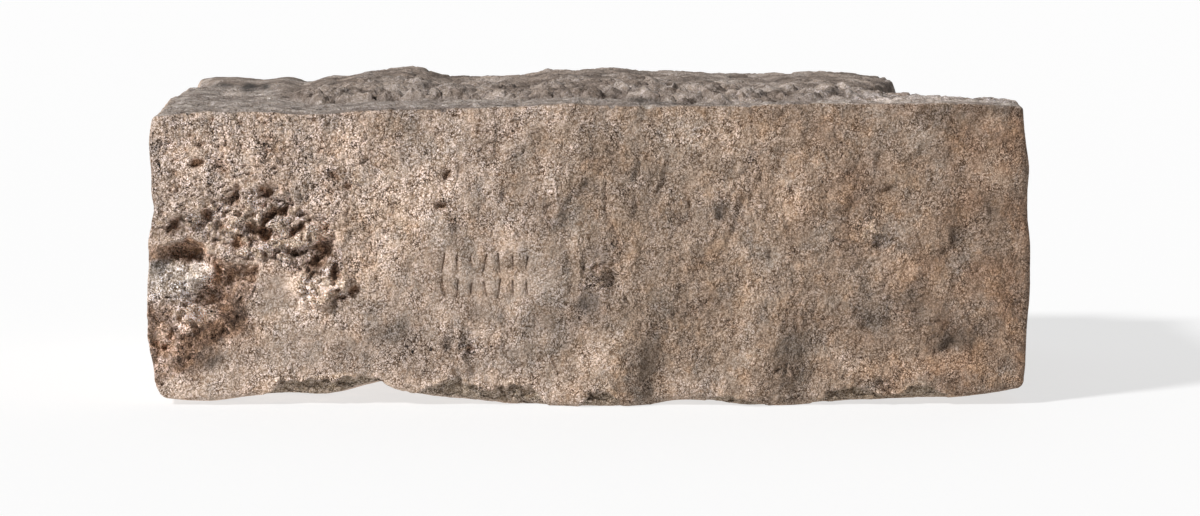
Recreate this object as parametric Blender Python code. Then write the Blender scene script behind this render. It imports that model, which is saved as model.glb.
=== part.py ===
"""Lead tablet: a thick slab cast in one piece, lying on its broad face.

The frame has +X to the right along the front, +Y towards the back and +Z up, with the origin in the
middle under the block. All sizes are in metres. Places on the front are shares of it: the first number
runs from 0 at the left end to 1 at the right end, the second from 0 at the bottom to 1 at the top. The
relief is worked out as whole arrays: each function takes places and gives heights or depths there.
"""
import bpy
import numpy as np
from mathutils import Vector

# Driving sizes of the block
WIDTH = 0.3694
DEPTH = 0.250
HEIGHT = 0.1254

# Radii of the worn edges, and how long the stretches of more and less wear are
UPRIGHT_FRONT_RADIUS = 0.0032
UPRIGHT_BACK_RADIUS = 0.0090
TOP_FRONT_RADIUS = 0.0012
TOP_BACK_RADIUS = 0.0050
TOP_END_RADIUS = 0.0020
BOTTOM_RADIUS = 0.0040
WEAR_SIZE = 0.028

# The eroded hollow at the lower left, with the lead that stands bare in it
RECESS_DEPTH = 0.0115
STEEP_WALL = 0.0065
GENTLE_WALL = 0.0155
LEAD_ISLAND_RISE = 0.0060
LEAD_ISLAND_WALL = 0.012
RAGGED_REACH = 0.0016
RAGGED_SIZE = 0.009

# The rough band over the hollow, and the broken lumps and crumbs of both
BAND_DEPTH = 0.0022
BAND_WALL = 0.0040
NODULE_HEIGHT = 0.0023
NODULE_SIZE = 0.0105
CRUMB_HEIGHT = 0.0013
CRUMB_SIZE = 0.0080
GAP_DEPTH = 0.0024
FORM_HEIGHT = 0.0024

# Sizes that the lists of pits, dents, lumps and folds count in
PIT_RADIUS = 0.0030
PIT_DEPTH = 0.0030
DENT_LENGTH = 0.0060
DENT_WIDTH = 0.0024
DENT_DEPTH = 0.0013
LUMP_RADIUS = 0.0060
LUMP_HEIGHT = 0.0016
FOLD_HEIGHT = 0.0050
FOLD_WANDER_SIZE = 0.045

# Slow swelling of the front, how far it falls back at its ends, and the broken lip along its bottom
SWELL_HEIGHT = 0.0016
SWELL_SIZE = 0.055
FRONT_END_FALL = 0.0024
LIP_DEPTH = 0.0032
LIP_STEP = 0.0016
LIP_TEAR = 0.0018
LIP_TEAR_SIZE = 0.0055

# The top: the smooth cast strip along the front, the crust behind it and the broken corner
STRIP_WAVE_HEIGHT = 0.0005
STRIP_WAVE_SIZE = 0.030
LEFT_CORNER_RISE = 0.0025
CRUST_LIFT = 0.0022
CRUST_ROUGHNESS = 0.0055
CRUST_GRAIN = 0.017
CHUNK_HEIGHT = 0.0018
CHUNK_SIZE = 0.013
WANDER_SIZE = 0.024
RIM_RISE = 0.0010
RIM_GRAIN_HEIGHT = 0.0014
RIM_GRAIN = 0.0090
CORNER_DROP = 0.0170
BITE_SIZE = 0.045
STUMP_HEIGHT = 0.0045
STUMP_SIZE = 0.018
UNDERSIDE_SLOPE = 0.11

# The two ends and the back, which aren't as rough
END_WAVE_HEIGHT = 0.0012
END_WAVE_SIZE = 0.034
END_FALL = 0.0004
BACK_WAVE_HEIGHT = 0.0018
BACK_WAVE_SIZE = 0.045

# The scratched sign: two rows of plain strokes
STROKE_ROWS = 2
STROKES_IN_ROW = 7
STROKE_LENGTH = 0.0080
STROKE_WIDTH = 0.0011
STROKE_DEPTH = 0.0010
STROKE_PITCH = 0.0058
ROW_PITCH = 0.0108
SIGN_MARGIN = 0.012
SIGN_PLACE = (0.384, 0.435)

# How finely the surface is worked out, how many triangles are kept, and what counts as flat underneath
LATTICE_STEP = 0.0018
TRIANGLES_KEPT = 9500
FLAT_WITHIN = 0.0001

# Height of the front's top edge, as a share of HEIGHT
TOP_EDGE = [(0.0, 0.964), (0.03, 0.974), (0.10, 0.985), (0.18, 0.975), (0.25, 0.986), (0.33, 0.993),
            (0.42, 0.999), (0.48, 1.009), (0.54, 1.002), (0.66, 1.002), (0.75, 1.009), (0.86, 1.009),
            (0.94, 1.007), (0.98, 1.001), (1.0, 0.995)]
# Height of the front's bottom edge over the underside, as a share of HEIGHT
BOTTOM_EDGE = [(0.0, 0.026), (0.03, 0.018), (0.06, 0.018), (0.10, 0.032), (0.14, 0.041), (0.20, 0.043),
               (0.23, 0.068), (0.252, 0.080), (0.27, 0.059), (0.31, 0.034), (0.36, 0.020), (0.41, 0.003),
               (0.48, 0.0), (0.56, 0.0), (0.60, 0.020), (0.64, 0.016), (0.69, 0.002), (0.73, 0.003),
               (0.80, 0.018), (0.87, 0.024), (0.93, 0.031), (0.97, 0.046), (1.0, 0.060)]
# How far each end lies inside the full width, by height, as a share of WIDTH
LEFT_END = [(0.0, 0.018), (0.04, 0.0115), (0.10, 0.0078), (0.15, 0.0034), (0.20, 0.0010), (0.28, 0.0002),
            (0.38, 0.0002), (0.48, 0.0022), (0.57, 0.0034), (0.62, 0.0062), (0.67, 0.0100),
            (0.72, 0.0078), (0.80, 0.0072), (0.87, 0.0052), (0.92, 0.0050), (1.0, 0.0090)]
RIGHT_END = [(0.0, 0.0075), (0.06, 0.0050), (0.14, 0.0040), (0.22, 0.0030), (0.32, 0.0002), (0.43, 0.0),
             (0.52, 0.0004), (0.60, 0.0030), (0.70, 0.0034), (0.79, 0.0020), (0.84, 0.0044),
             (0.92, 0.0078), (1.0, 0.0098)]
# Height of the crust's far crest, as a share of HEIGHT, along the width
CREST = [(0.0, 0.994), (0.059, 1.0), (0.089, 0.996), (0.112, 1.004), (0.138, 0.985), (0.165, 1.002),
         (0.191, 1.010), (0.21, 1.024), (0.253, 1.030), (0.292, 1.031), (0.306, 1.014), (0.322, 1.006),
         (0.391, 1.007), (0.433, 1.014), (0.448, 1.024), (0.513, 1.032), (0.545, 1.032), (0.607, 1.020),
         (0.667, 1.014), (0.717, 1.010), (0.783, 1.022), (0.837, 1.014), (0.873, 1.006), (1.0, 0.989)]
# How far back the smooth cast strip of the top reaches, and how far behind it the crust is at its full
# height, both as shares of DEPTH, along the width
STRIP = [(0.0, 0.86), (0.015, 0.83), (0.04, 0.75), (0.08, 0.68), (0.11, 0.60), (0.13, 0.40), (0.16, 0.28),
         (0.25, 0.22), (0.33, 0.18), (0.42, 0.14), (0.50, 0.10), (0.56, 0.06), (0.80, 0.05), (1.0, 0.10)]
CRUST_RISE = [(0.0, 0.12), (0.09, 0.14), (0.13, 0.45), (0.20, 0.62), (1.0, 0.70)]
# Height of the broken lip along the bottom of the front, as a share of HEIGHT
LIP = [(0.0, 0.0), (0.12, 0.0), (0.14, 0.055), (0.18, 0.085), (0.23, 0.098), (0.26, 0.095),
       (0.28, 0.062), (0.31, 0.050), (0.33, 0.078), (0.36, 0.084), (0.38, 0.052), (0.415, 0.066),
       (0.44, 0.050), (0.46, 0.0), (0.49, 0.0), (0.50, 0.038), (0.53, 0.036), (0.54, 0.0),
       (0.62, 0.0), (0.65, 0.030), (0.68, 0.022), (0.70, 0.0), (0.75, 0.0), (0.77, 0.052),
       (0.82, 0.050), (0.84, 0.034), (0.87, 0.056), (0.90, 0.046), (0.94, 0.0), (1.0, 0.0)]

# The eroded hollow at the lower left, the lead that stands bare in it, and the rough band above it
RECESS = [(-0.03, 0.557), (0.02, 0.550), (0.044, 0.557), (0.066, 0.540), (0.085, 0.500), (0.105, 0.477),
          (0.130, 0.473), (0.130, 0.400), (0.1165, 0.347), (0.122, 0.283), (0.1165, 0.243),
          (0.085, 0.223), (0.063, 0.183), (0.049, 0.117), (0.020, 0.057), (-0.03, 0.043)]
LEAD_ISLAND = [(-0.03, 0.49), (0.03, 0.50), (0.065, 0.485), (0.082, 0.455), (0.072, 0.385), (0.060, 0.33),
               (0.066, 0.27), (0.052, 0.20), (0.034, 0.13), (0.012, 0.07), (-0.03, 0.06)]
ROUGH_BAND = [(-0.03, 0.610), (0.026, 0.643), (0.055, 0.667), (0.08, 0.70), (0.11, 0.743), (0.13, 0.740),
              (0.157, 0.717), (0.175, 0.683), (0.20, 0.657), (0.218, 0.620), (0.224, 0.565),
              (0.232, 0.517), (0.236, 0.417), (0.233, 0.350), (0.213, 0.325), (0.187, 0.320),
              (0.170, 0.340), (0.165, 0.390), (0.169, 0.443), (0.155, 0.477), (0.115, 0.480),
              (0.096, 0.490), (0.066, 0.540), (0.044, 0.557), (0.02, 0.550), (-0.03, 0.557)]

# Pits: place on the front, then radius in PIT_RADIUS and depth in PIT_DEPTH
PITS = [(0.061, 0.811, 1.0, 1.2), (0.086, 0.794, 1.8, 0.7), (0.028, 0.867, 1.2, 0.4),
        (0.103, 0.717, 0.9, 0.8), (0.139, 0.715, 1.0, 1.3), (0.157, 0.643, 1.0, 1.7),
        (0.136, 0.578, 1.5, 2.0), (0.120, 0.590, 1.5, 0.9), (0.168, 0.570, 0.9, 1.0),
        (0.181, 0.586, 0.9, 1.1), (0.106, 0.543, 1.1, 1.1), (0.050, 0.540, 1.3, 1.2),
        (0.061, 0.522, 1.3, 1.2), (0.215, 0.443, 1.1, 1.5), (0.198, 0.473, 1.0, 1.1),
        (0.234, 0.380, 0.9, 0.9), (0.216, 0.773, 1.1, 0.8), (0.2276, 0.743, 0.9, 0.6),
        (0.339, 0.773, 0.9, 0.9), (0.338, 0.667, 1.1, 0.7), (0.366, 0.200, 0.9, 0.8),
        (0.200, 0.520, 1.0, 0.8)]
# Dents: place on the front, half length in DENT_LENGTH, half width in DENT_WIDTH, lean, depth in DENT_DEPTH
DENTS = [(0.3495, 0.577, 1.2, 0.9, 0.14, 1.2), (0.404, 0.690, 0.6, 0.6, 0.0, 1.1),
         (0.3416, 0.200, 0.9, 0.9, 0.0, 1.0), (0.4955, 0.717, 1.2, 1.1, 0.87, 1.1),
         (0.526, 0.427, 1.2, 1.0, 0.21, 1.0), (0.6517, 0.647, 0.7, 1.4, 0.0, 1.1),
         (0.670, 0.650, 1.5, 0.9, 0.26, 0.9), (0.706, 0.513, 0.6, 0.7, 0.26, 1.0),
         (0.7886, 0.643, 1.4, 1.1, 1.01, 1.0), (0.8384, 0.720, 0.9, 0.9, 0.87, 1.1),
         (0.827, 0.553, 0.5, 1.1, 0.0, 1.2), (0.920, 0.570, 0.8, 1.5, 0.0, 1.0),
         (0.905, 0.200, 1.1, 1.2, 1.05, 0.9), (0.714, 0.120, 0.6, 0.7, 1.05, 1.3),
         (0.954, 0.673, 1.0, 1.2, 0.17, 0.7)]
# Lumps: place on the front, then radius in LUMP_RADIUS and height in LUMP_HEIGHT
LUMPS = [(0.510, 0.450, 1.3, 1.2), (0.818, 0.575, 1.4, 1.0), (0.465, 0.640, 1.0, 0.9),
         (0.722, 0.108, 0.8, 0.9), (0.850, 0.400, 1.0, 0.75)]
# Large forms of the eroded part: place, half width and half height as shares, height in FORM_HEIGHT
FORMS = [(0.199, 0.407, 0.033, 0.067, 1.8), (0.048, 0.643, 0.022, 0.050, 1.1),
         (0.115, 0.643, 0.023, 0.053, 0.9), (0.199, 0.637, 0.019, 0.073, 0.75),
         (0.138, 0.517, 0.020, 0.030, 0.6), (0.053, 0.290, 0.025, 0.050, 1.0),
         (0.043, 0.413, 0.032, 0.067, 0.5), (0.160, 0.697, 0.016, 0.030, 0.7)]
# Soft folds: crest, rise to its left, fall to its right, lowest and highest place, lean, then height
# in FOLD_HEIGHT
FOLDS = [(0.514, 0.090, 0.056, -0.30, 0.34, 0.14, 1.28), (0.687, 0.060, 0.055, -0.30, 0.36, 0.08, 1.0),
         (0.482, 0.080, 0.036, 0.74, 1.30, 0.00, 0.32), (0.610, 0.060, 0.080, 0.45, 0.90, 0.05, 0.28),
         (0.340, 0.060, 0.030, 0.05, 0.34, 0.00, 0.32), (0.880, 0.090, 0.070, 0.15, 0.60, 0.04, 0.30)]


def smooth(t):
    """A soft step: 0 below 0, 1 above 1, and an S-shaped rise between them."""
    t = np.clip(t, 0.0, 1.0)
    return t * t * (3.0 - 2.0 * t)


def curve(points, t):
    """A smooth line through hand-set points, with each point's slope taken from its two neighbours."""
    at, value = np.array(points).T
    slope = np.gradient(value, at)
    i = np.clip(np.searchsorted(at, t, side="right") - 1, 0, len(at) - 2)
    span = at[i + 1] - at[i]
    f = np.clip((t - at[i]) / span, 0.0, 1.0)
    rise = f * f * (3.0 - 2.0 * f)
    ease_in = f * (1.0 - f) ** 2 * slope[i] * span
    ease_out = f * f * (1.0 - f) * slope[i + 1] * span
    return value[i] * (1.0 - rise) + value[i + 1] * rise + ease_in - ease_out


def scatter(i, j, k, seed):
    """A fixed number from 0 to 1 for each whole-numbered cell, with no visible order."""
    mixed = (i * 374761393 + j * 668265263 + k * 1440662683 + seed * 1013904223) & 0xFFFFFFFF
    mixed = ((mixed ^ (mixed >> 13)) * 1274126177) & 0xFFFFFFFF
    return ((mixed ^ (mixed >> 16)) & 0xFFFFFF) / 0xFFFFFF


def waviness(x, y, z, size, seed):
    """Soft random waves from -1 to 1: cell corners get fixed values, blended by a soft step between.

    The net of cells is turned out of line with the block, so that its rows don't show.
    """
    x, y, z = 0.8 * x + 0.36 * y - 0.48 * z, 0.8 * y + 0.6 * z, 0.6 * x - 0.48 * y + 0.64 * z
    x, y, z = x / size, y / size, z / size
    i, j, k = (np.floor(c).astype(np.int64) for c in (x, y, z))
    fx, fy, fz = smooth(x - i), smooth(y - j), smooth(z - k)
    total = np.zeros(np.shape(fx))
    for di in (0, 1):
        for dj in (0, 1):
            for dk in (0, 1):
                weight = (fx if di else 1 - fx) * (fy if dj else 1 - fy) * (fz if dk else 1 - fz)
                total += weight * scatter(i + di, j + dj, k + dk, seed)
    return 2.0 * total - 1.0


def roughness(x, y, z, size, seed):
    """Waves of three sizes together, each half as long and half as high as the one before."""
    return (waviness(x, y, z, size, seed) + 0.5 * waviness(x, y, z, size / 2, seed + 1)
            + 0.25 * waviness(x, y, z, size / 4, seed + 2)) / 1.75


def lumps(x, y, z, size, seed):
    """Rounded lumps side by side, from 0 between them to 1 on top.

    Each cell of a cubic net holds one centre, moved at random. The height is 1 less the squared
    distance to the nearest centre, in cells.
    """
    x, y, z = x / size, y / size, z / size
    i, j, k = (np.floor(c).astype(np.int64) for c in (x, y, z))
    nearest = np.full(np.shape(x), 4.0)
    for di in (-1, 0, 1):
        for dj in (-1, 0, 1):
            for dk in (-1, 0, 1):
                ci, cj, ck = i + di, j + dj, k + dk
                far = (ci + scatter(ci, cj, ck, seed) - x) ** 2
                far = far + (cj + scatter(ci, cj, ck, seed + 1) - y) ** 2
                far = far + (ck + scatter(ci, cj, ck, seed + 2) - z) ** 2
                nearest = np.minimum(nearest, far)
    return np.clip(1.0 - nearest, 0.0, 1.0)


def chunks(a, b, size, seed):
    """A broken surface of angular chunks side by side: its height, about -1 to 1, at each place.

    Each cell of a flat net holds one centre, moved at random. A place belongs to the nearest centre,
    and takes that chunk's own height and slant.
    """
    a, b = a / size, b / size
    i, j = np.floor(a).astype(np.int64), np.floor(b).astype(np.int64)
    nearest = np.full(np.shape(a), 9.0)
    height = np.zeros(np.shape(a))
    for di in (-1, 0, 1):
        for dj in (-1, 0, 1):
            ci, cj = i + di, j + dj
            off_a, off_b = a - ci - scatter(ci, cj, 1, seed), b - cj - scatter(ci, cj, 2, seed)
            far = np.hypot(off_a, off_b)
            own = 1.3 * (scatter(ci, cj, 3, seed) - 0.5) + 1.8 * off_a * (scatter(ci, cj, 4, seed) - 0.5)
            own = own + 1.8 * off_b * (scatter(ci, cj, 5, seed) - 0.5)
            height = np.where(far < nearest, own, height)
            nearest = np.minimum(nearest, far)
    return height


def crumbs(a, b, size, seed):
    """Uneven rounded crumbs with creases between them, from about -0.5 to 1: waves without their sign."""
    return 2.6 * np.abs(waviness(a, 0 * a, b, size, seed)) - 0.6


def depth_inside(outline, x, z):
    """How far each place is inside a closed outline on the front, in metres, and below zero outside."""
    corners = [((share - 0.5) * WIDTH, height * HEIGHT) for share, height in outline]
    nearest = np.full(np.shape(x), np.inf)
    inside = np.zeros(np.shape(x), dtype=bool)
    for (ax, az), (bx, bz) in zip(corners, corners[1:] + corners[:1]):
        ex, ez = bx - ax, bz - az
        along = np.clip(((x - ax) * ex + (z - az) * ez) / (ex * ex + ez * ez), 0.0, 1.0)
        nearest = np.minimum(nearest, np.hypot(x - ax - along * ex, z - az - along * ez))
        if ez != 0.0:
            inside ^= ((az > z) != (bz > z)) & (x < ax + (z - az) * ex / ez)
    return np.where(inside, nearest, -nearest)


def bowl(x, z, place, radius):
    """1 in the middle of a round spot on the front and 0 outside it, with a soft rim."""
    far = np.hypot(x - (place[0] - 0.5) * WIDTH, z - place[1] * HEIGHT)
    return smooth(1.5 * (1.0 - far / radius))


def dents(x, z):
    """Depth of the oval dents of the front, soft at their rims; the deepest counts where they meet."""
    deepest = np.zeros(np.shape(x))
    for across, up, half_long, half_wide, lean, depth in DENTS:
        dx, dz = x - (across - 0.5) * WIDTH, z - up * HEIGHT
        along = (dx * np.sin(lean) + dz * np.cos(lean)) / (half_long * DENT_LENGTH)
        aside = (dx * np.cos(lean) - dz * np.sin(lean)) / (half_wide * DENT_WIDTH)
        deepest = np.maximum(deepest, depth * DENT_DEPTH * smooth(1.25 * (1.15 - np.hypot(along, aside))))
    return deepest


def raised_forms(share, height):
    """Height of the large forms that stand up in the eroded part, each an oval with a steep rim."""
    total = np.zeros(np.shape(share))
    for across, up, half_wide, half_tall, tall in FORMS:
        far = np.hypot((share - across) / half_wide, (height - up) / half_tall)
        total += tall * FORM_HEIGHT * smooth(2.0 * (1.0 - far) + 0.3)
    return total


def folds(share, height):
    """The soft folds of the casting: each rises slowly to its crest and falls faster on its right."""
    total = np.zeros(np.shape(share))
    x, z = share * WIDTH, height * HEIGHT
    share = share + 0.014 * waviness(x, 0 * x, z, FOLD_WANDER_SIZE, 12)
    height = height + 0.06 * waviness(x, 0 * x, z, FOLD_WANDER_SIZE, 13)
    for crest, rise, fall, low, high, lean, tall in FOLDS:
        middle = crest + lean * height
        ridge = smooth((share - middle + rise) / rise) * (1.0 - smooth((share - middle) / fall))
        window = smooth((height - low) / 0.14) * smooth((high - height) / 0.14)
        total += tall * FOLD_HEIGHT * ridge * window
    return total


def sign_calm(x, z):
    """1 on the even patch that holds the strokes, and 0 away from it."""
    half_long = 0.5 * STROKES_IN_ROW * STROKE_PITCH
    half_tall = 0.5 * STROKE_ROWS * ROW_PITCH
    aside = np.abs(x - (SIGN_PLACE[0] - 0.5) * WIDTH) - half_long
    above = np.abs(z - SIGN_PLACE[1] * HEIGHT) - half_tall
    return 1.0 - smooth(np.maximum(aside, above) / SIGN_MARGIN)


def crags(x, z):
    """Depth of the crumbling surface of the eroded parts: broken lumps, rounded crumbs and deep gaps."""
    lumps_and_gaps = -NODULE_HEIGHT * chunks(x, z, NODULE_SIZE, 121)
    lumps_and_gaps = lumps_and_gaps + CRUMB_HEIGHT * crumbs(x, z, CRUMB_SIZE, 131)
    return lumps_and_gaps + GAP_DEPTH * smooth(4.0 * (waviness(x, 0 * x, z, CRUMB_SIZE, 151) - 0.3))


def front_relief(x, z):
    """How far the front lies behind its own plane, in metres, at each place on it."""
    share, height = x / WIDTH + 0.5, z / HEIGHT
    ragged = RAGGED_REACH * waviness(x, 0 * x, z, RAGGED_SIZE, 11)
    recess = depth_inside(RECESS, x, z) + ragged
    island = smooth((depth_inside(LEAD_ISLAND, x, z) + ragged) / LEAD_ISLAND_WALL + 0.33)
    band = smooth((depth_inside(ROUGH_BAND, x, z) + 1.6 * ragged) / BAND_WALL)

    below_right = smooth((0.32 - height) / 0.10)
    gentle = np.maximum(below_right, smooth((share - 0.055) / 0.03) + smooth((0.034 - share) / 0.02))
    wall = STEEP_WALL + (GENTLE_WALL - STEEP_WALL) * gentle
    hollow = RECESS_DEPTH * smooth(recess / wall) - LEAD_ISLAND_RISE * island
    in_recess = smooth(recess / BAND_WALL)
    rough = np.maximum(band, in_recess)
    relief = hollow + BAND_DEPTH * band + crags(x, z) * rough * (1.0 - 0.3 * in_recess)

    relief = relief - folds(share, height) - raised_forms(share, height) + dents(x, z)
    for across, up, radius, deep in PITS:
        relief = relief + 0.8 * deep * PIT_DEPTH * bowl(x, z, (across, up), radius * PIT_RADIUS)
    for across, up, radius, tall in LUMPS:
        relief = relief - tall * LUMP_HEIGHT * bowl(x, z, (across, up), radius * LUMP_RADIUS)
    torn = LIP_TEAR * waviness(x, 0 * x, z, LIP_TEAR_SIZE, 15)
    relief = relief + LIP_DEPTH * smooth((curve(LIP, share) * HEIGHT - z - torn) / LIP_STEP)
    ends = smooth((share - 0.955) / 0.045) + 0.6 * smooth((0.03 - share) / 0.03)
    relief = relief + FRONT_END_FALL * ends + SWELL_HEIGHT * waviness(x, 0 * x, z, SWELL_SIZE, 31)
    return relief * (1.0 - sign_calm(x, z))


def top_height(share, back):
    """Height of the top over the underside, in metres, from the front edge (back 0) to the far edge (1)."""
    x, y = share * WIDTH, back * DEPTH
    cast = curve(TOP_EDGE, share) * HEIGHT + STRIP_WAVE_HEIGHT * waviness(x, y, 0 * x, STRIP_WAVE_SIZE, 41)
    at_corner = smooth((0.07 - share) / 0.05) * smooth((back - 0.08) / 0.2) * smooth((0.8 - back) / 0.15)
    cast = cast + LEFT_CORNER_RISE * at_corner
    at_left = 1.0 - smooth((share - 0.125) / 0.03)
    ragged = 0.030 * (1.0 - 0.5 * at_left) * waviness(x, y, 0 * x, WANDER_SIZE, 42)
    on_crust = smooth((back - curve(STRIP, share) + ragged) / (0.03 + 0.035 * at_left))
    crest = curve(CREST, share) * HEIGHT
    far = smooth((back - curve(STRIP, share)) / curve(CRUST_RISE, share))
    middle = np.minimum(cast + CRUST_LIFT, crest - 0.5 * CRUST_LIFT)
    humps = CRUST_ROUGHNESS * (lumps(x, y, 0 * x, CRUST_GRAIN, 43) - 0.5)
    humps = humps + CHUNK_HEIGHT * chunks(x, y, CHUNK_SIZE, 171)
    crust = middle * (1.0 - far) + crest * far + humps * (1.0 - 0.80 * far) * (1.0 - 0.6 * at_left)
    height = cast * (1.0 - on_crust) + crust * on_crust

    edge = 0.014 * waviness(x, y, 0 * x, WANDER_SIZE, 44)
    bite = 0.055 * smooth(0.5 + waviness(0 * x, y, 0 * x, BITE_SIZE, 47))
    bite = bite * smooth((back - 0.22) / 0.15) * smooth((1.0 - back) / 0.12)
    broken = smooth((share - 0.877 + 0.6 * edge + bite) / 0.018) * smooth((back - 0.14 + edge) / 0.06)
    stump = STUMP_HEIGHT * (0.5 - lumps(x, y, 0 * x, STUMP_SIZE, 45))
    height = height - broken * (CORNER_DROP * (0.45 + 0.55 * smooth((back - 0.15) / 0.7)) + stump)
    rim = smooth((share - 0.78) / 0.05) * smooth((back - 0.05) / 0.04) * smooth((0.22 - back) / 0.05)
    rim_height = cast + RIM_RISE + RIM_GRAIN_HEIGHT * (lumps(x, y, 0 * x, RIM_GRAIN, 56) - 0.5)
    return height * (1.0 - rim) + rim * (rim_height - 0.3 * CORNER_DROP * broken)


def bottom_height(share, back):
    """Height of the underside: it lifts along the front edge, and is flat everywhere else."""
    lift = curve(BOTTOM_EDGE, share) * HEIGHT
    return np.maximum(lift - UNDERSIDE_SLOPE * back * DEPTH, 0.0)


def end_inset(points, back, height, seed):
    """How far an end lies inside the full width, in metres: its front outline, plainer further back."""
    kept = 1.0 - 0.55 * smooth((back - 0.3) / 0.7)
    waves = END_WAVE_HEIGHT * roughness(0 * back, back * DEPTH, height * HEIGHT, END_WAVE_SIZE, seed)
    fallen = np.maximum(waves + END_FALL, 0.0) * smooth((back - 0.03) / 0.2)
    return curve(points, height) * WIDTH * kept + fallen


def rounded(a, b, length_a, length_b, radius):
    """Pulls places that lie outside a rectangle's rounded corners straight back onto the arcs."""
    middle_a = np.clip(a, radius, length_a - radius)
    middle_b = np.clip(b, radius, length_b - radius)
    off_a, off_b = a - middle_a, b - middle_b
    far = np.hypot(off_a, off_b)
    pull = np.where(far > radius, radius / np.maximum(far, 1e-9), 1.0)
    return middle_a + off_a * pull, middle_b + off_b * pull


def worn_edges(x, y, z):
    """Rounds the twelve edges of the plain block, each with its own radius, more in some places."""
    wear = 1.0 + 0.45 * waviness(x, y, z, WEAR_SIZE, 51)
    upright = np.where(y < DEPTH / 2, UPRIGHT_FRONT_RADIUS, UPRIGHT_BACK_RADIUS) * wear
    x, y = rounded(x, y, WIDTH, DEPTH, upright)
    top = np.where(y < DEPTH / 2, TOP_FRONT_RADIUS, TOP_BACK_RADIUS)
    long_edges = np.where(z > HEIGHT / 2, top, BOTTOM_RADIUS) * wear
    y, z = rounded(y, z, DEPTH, HEIGHT, long_edges)
    short_edges = np.where(z > HEIGHT / 2, TOP_END_RADIUS, BOTTOM_RADIUS) * wear
    x, z = rounded(x, z, WIDTH, HEIGHT, short_edges)
    return x, y, z


def block_point(x, y, z):
    """Moves places of the plain block, measured from its lower front left corner, to the cast form.

    Each of the six sides has its own height over the plain box. A place takes its share of the two
    sides that face each other, so the lattice keeps whole along the edges.
    """
    x, y, z = worn_edges(x, y, z)
    across, back, up = x / WIDTH, y / DEPTH, z / HEIGHT
    left = end_inset(LEFT_END, back, up, 61)
    right = WIDTH - end_inset(RIGHT_END, back, up, 62)
    x = left * (1.0 - across) + right * across - WIDTH / 2
    z = bottom_height(across, back) * (1.0 - up) + top_height(across, back) * up
    behind = DEPTH - BACK_WAVE_HEIGHT * (1.0 + roughness(x, 0 * x, z, BACK_WAVE_SIZE, 63))
    near = 1.0 - smooth(back / 0.35)
    y = front_relief(x, z) * near + behind * back - DEPTH / 2
    return x, y, z


def lattice(steps):
    """Whole-numbered places all over a box of steps cells, each once, and its faces, pointing out."""
    places, faces, count = [], [], 0
    for axis in range(3):
        first, second = (axis + 1) % 3, (axis + 2) % 3
        a, b = np.meshgrid(np.arange(steps[first] + 1), np.arange(steps[second] + 1), indexing="ij")
        corner = (np.arange(steps[first])[:, None] * (steps[second] + 1) + np.arange(steps[second])).ravel()
        right, above = corner + steps[second] + 1, corner + 1
        for level in (0, steps[axis]):
            side = np.zeros((a.size, 3), dtype=np.int64)
            side[:, axis], side[:, first], side[:, second] = level, a.ravel(), b.ravel()
            loop = (corner, right, right + 1, above) if level else (corner, above, right + 1, right)
            places.append(side)
            faces.append(np.stack(loop, axis=1) + count)
            count += a.size
    merged, index = np.unique(np.concatenate(places), axis=0, return_inverse=True)
    return merged, index.ravel()[np.concatenate(faces)]


def lead_material():
    """Old lead under a dull earth-coloured crust."""
    material = bpy.data.materials.new("corroded_cast_lead")
    material.use_nodes = True
    shader = material.node_tree.nodes["Principled BSDF"]
    shader.inputs["Base Color"].default_value = (0.30, 0.235, 0.185, 1.0)
    shader.inputs["Roughness"].default_value = 0.85
    shader.inputs["Metallic"].default_value = 0.15
    return material


def add_object(name, points, faces):
    """Makes a mesh object from arrays of points and faces and puts it in the scene."""
    mesh = bpy.data.meshes.new(name)
    mesh.from_pydata(points, [], faces)
    made = bpy.data.objects.new(name, mesh)
    bpy.context.scene.collection.objects.link(made)
    return made


def cast_block():
    """The block itself: the lattice bent to the cast form, then thinned where it is plain."""
    size = np.array([WIDTH, DEPTH, HEIGHT])
    steps = np.maximum(np.round(size / LATTICE_STEP), 4).astype(int)
    places, faces = lattice(steps)
    x, y, z = block_point(*(places / steps * size).T)
    block = add_object("lead_tablet", np.stack([x, y, z], axis=1).tolist(), faces.tolist())
    thin = block.modifiers.new("thin_plain_parts", "DECIMATE")
    thin.ratio = min(1.0, TRIANGLES_KEPT / (2 * len(faces)))
    return block


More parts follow.
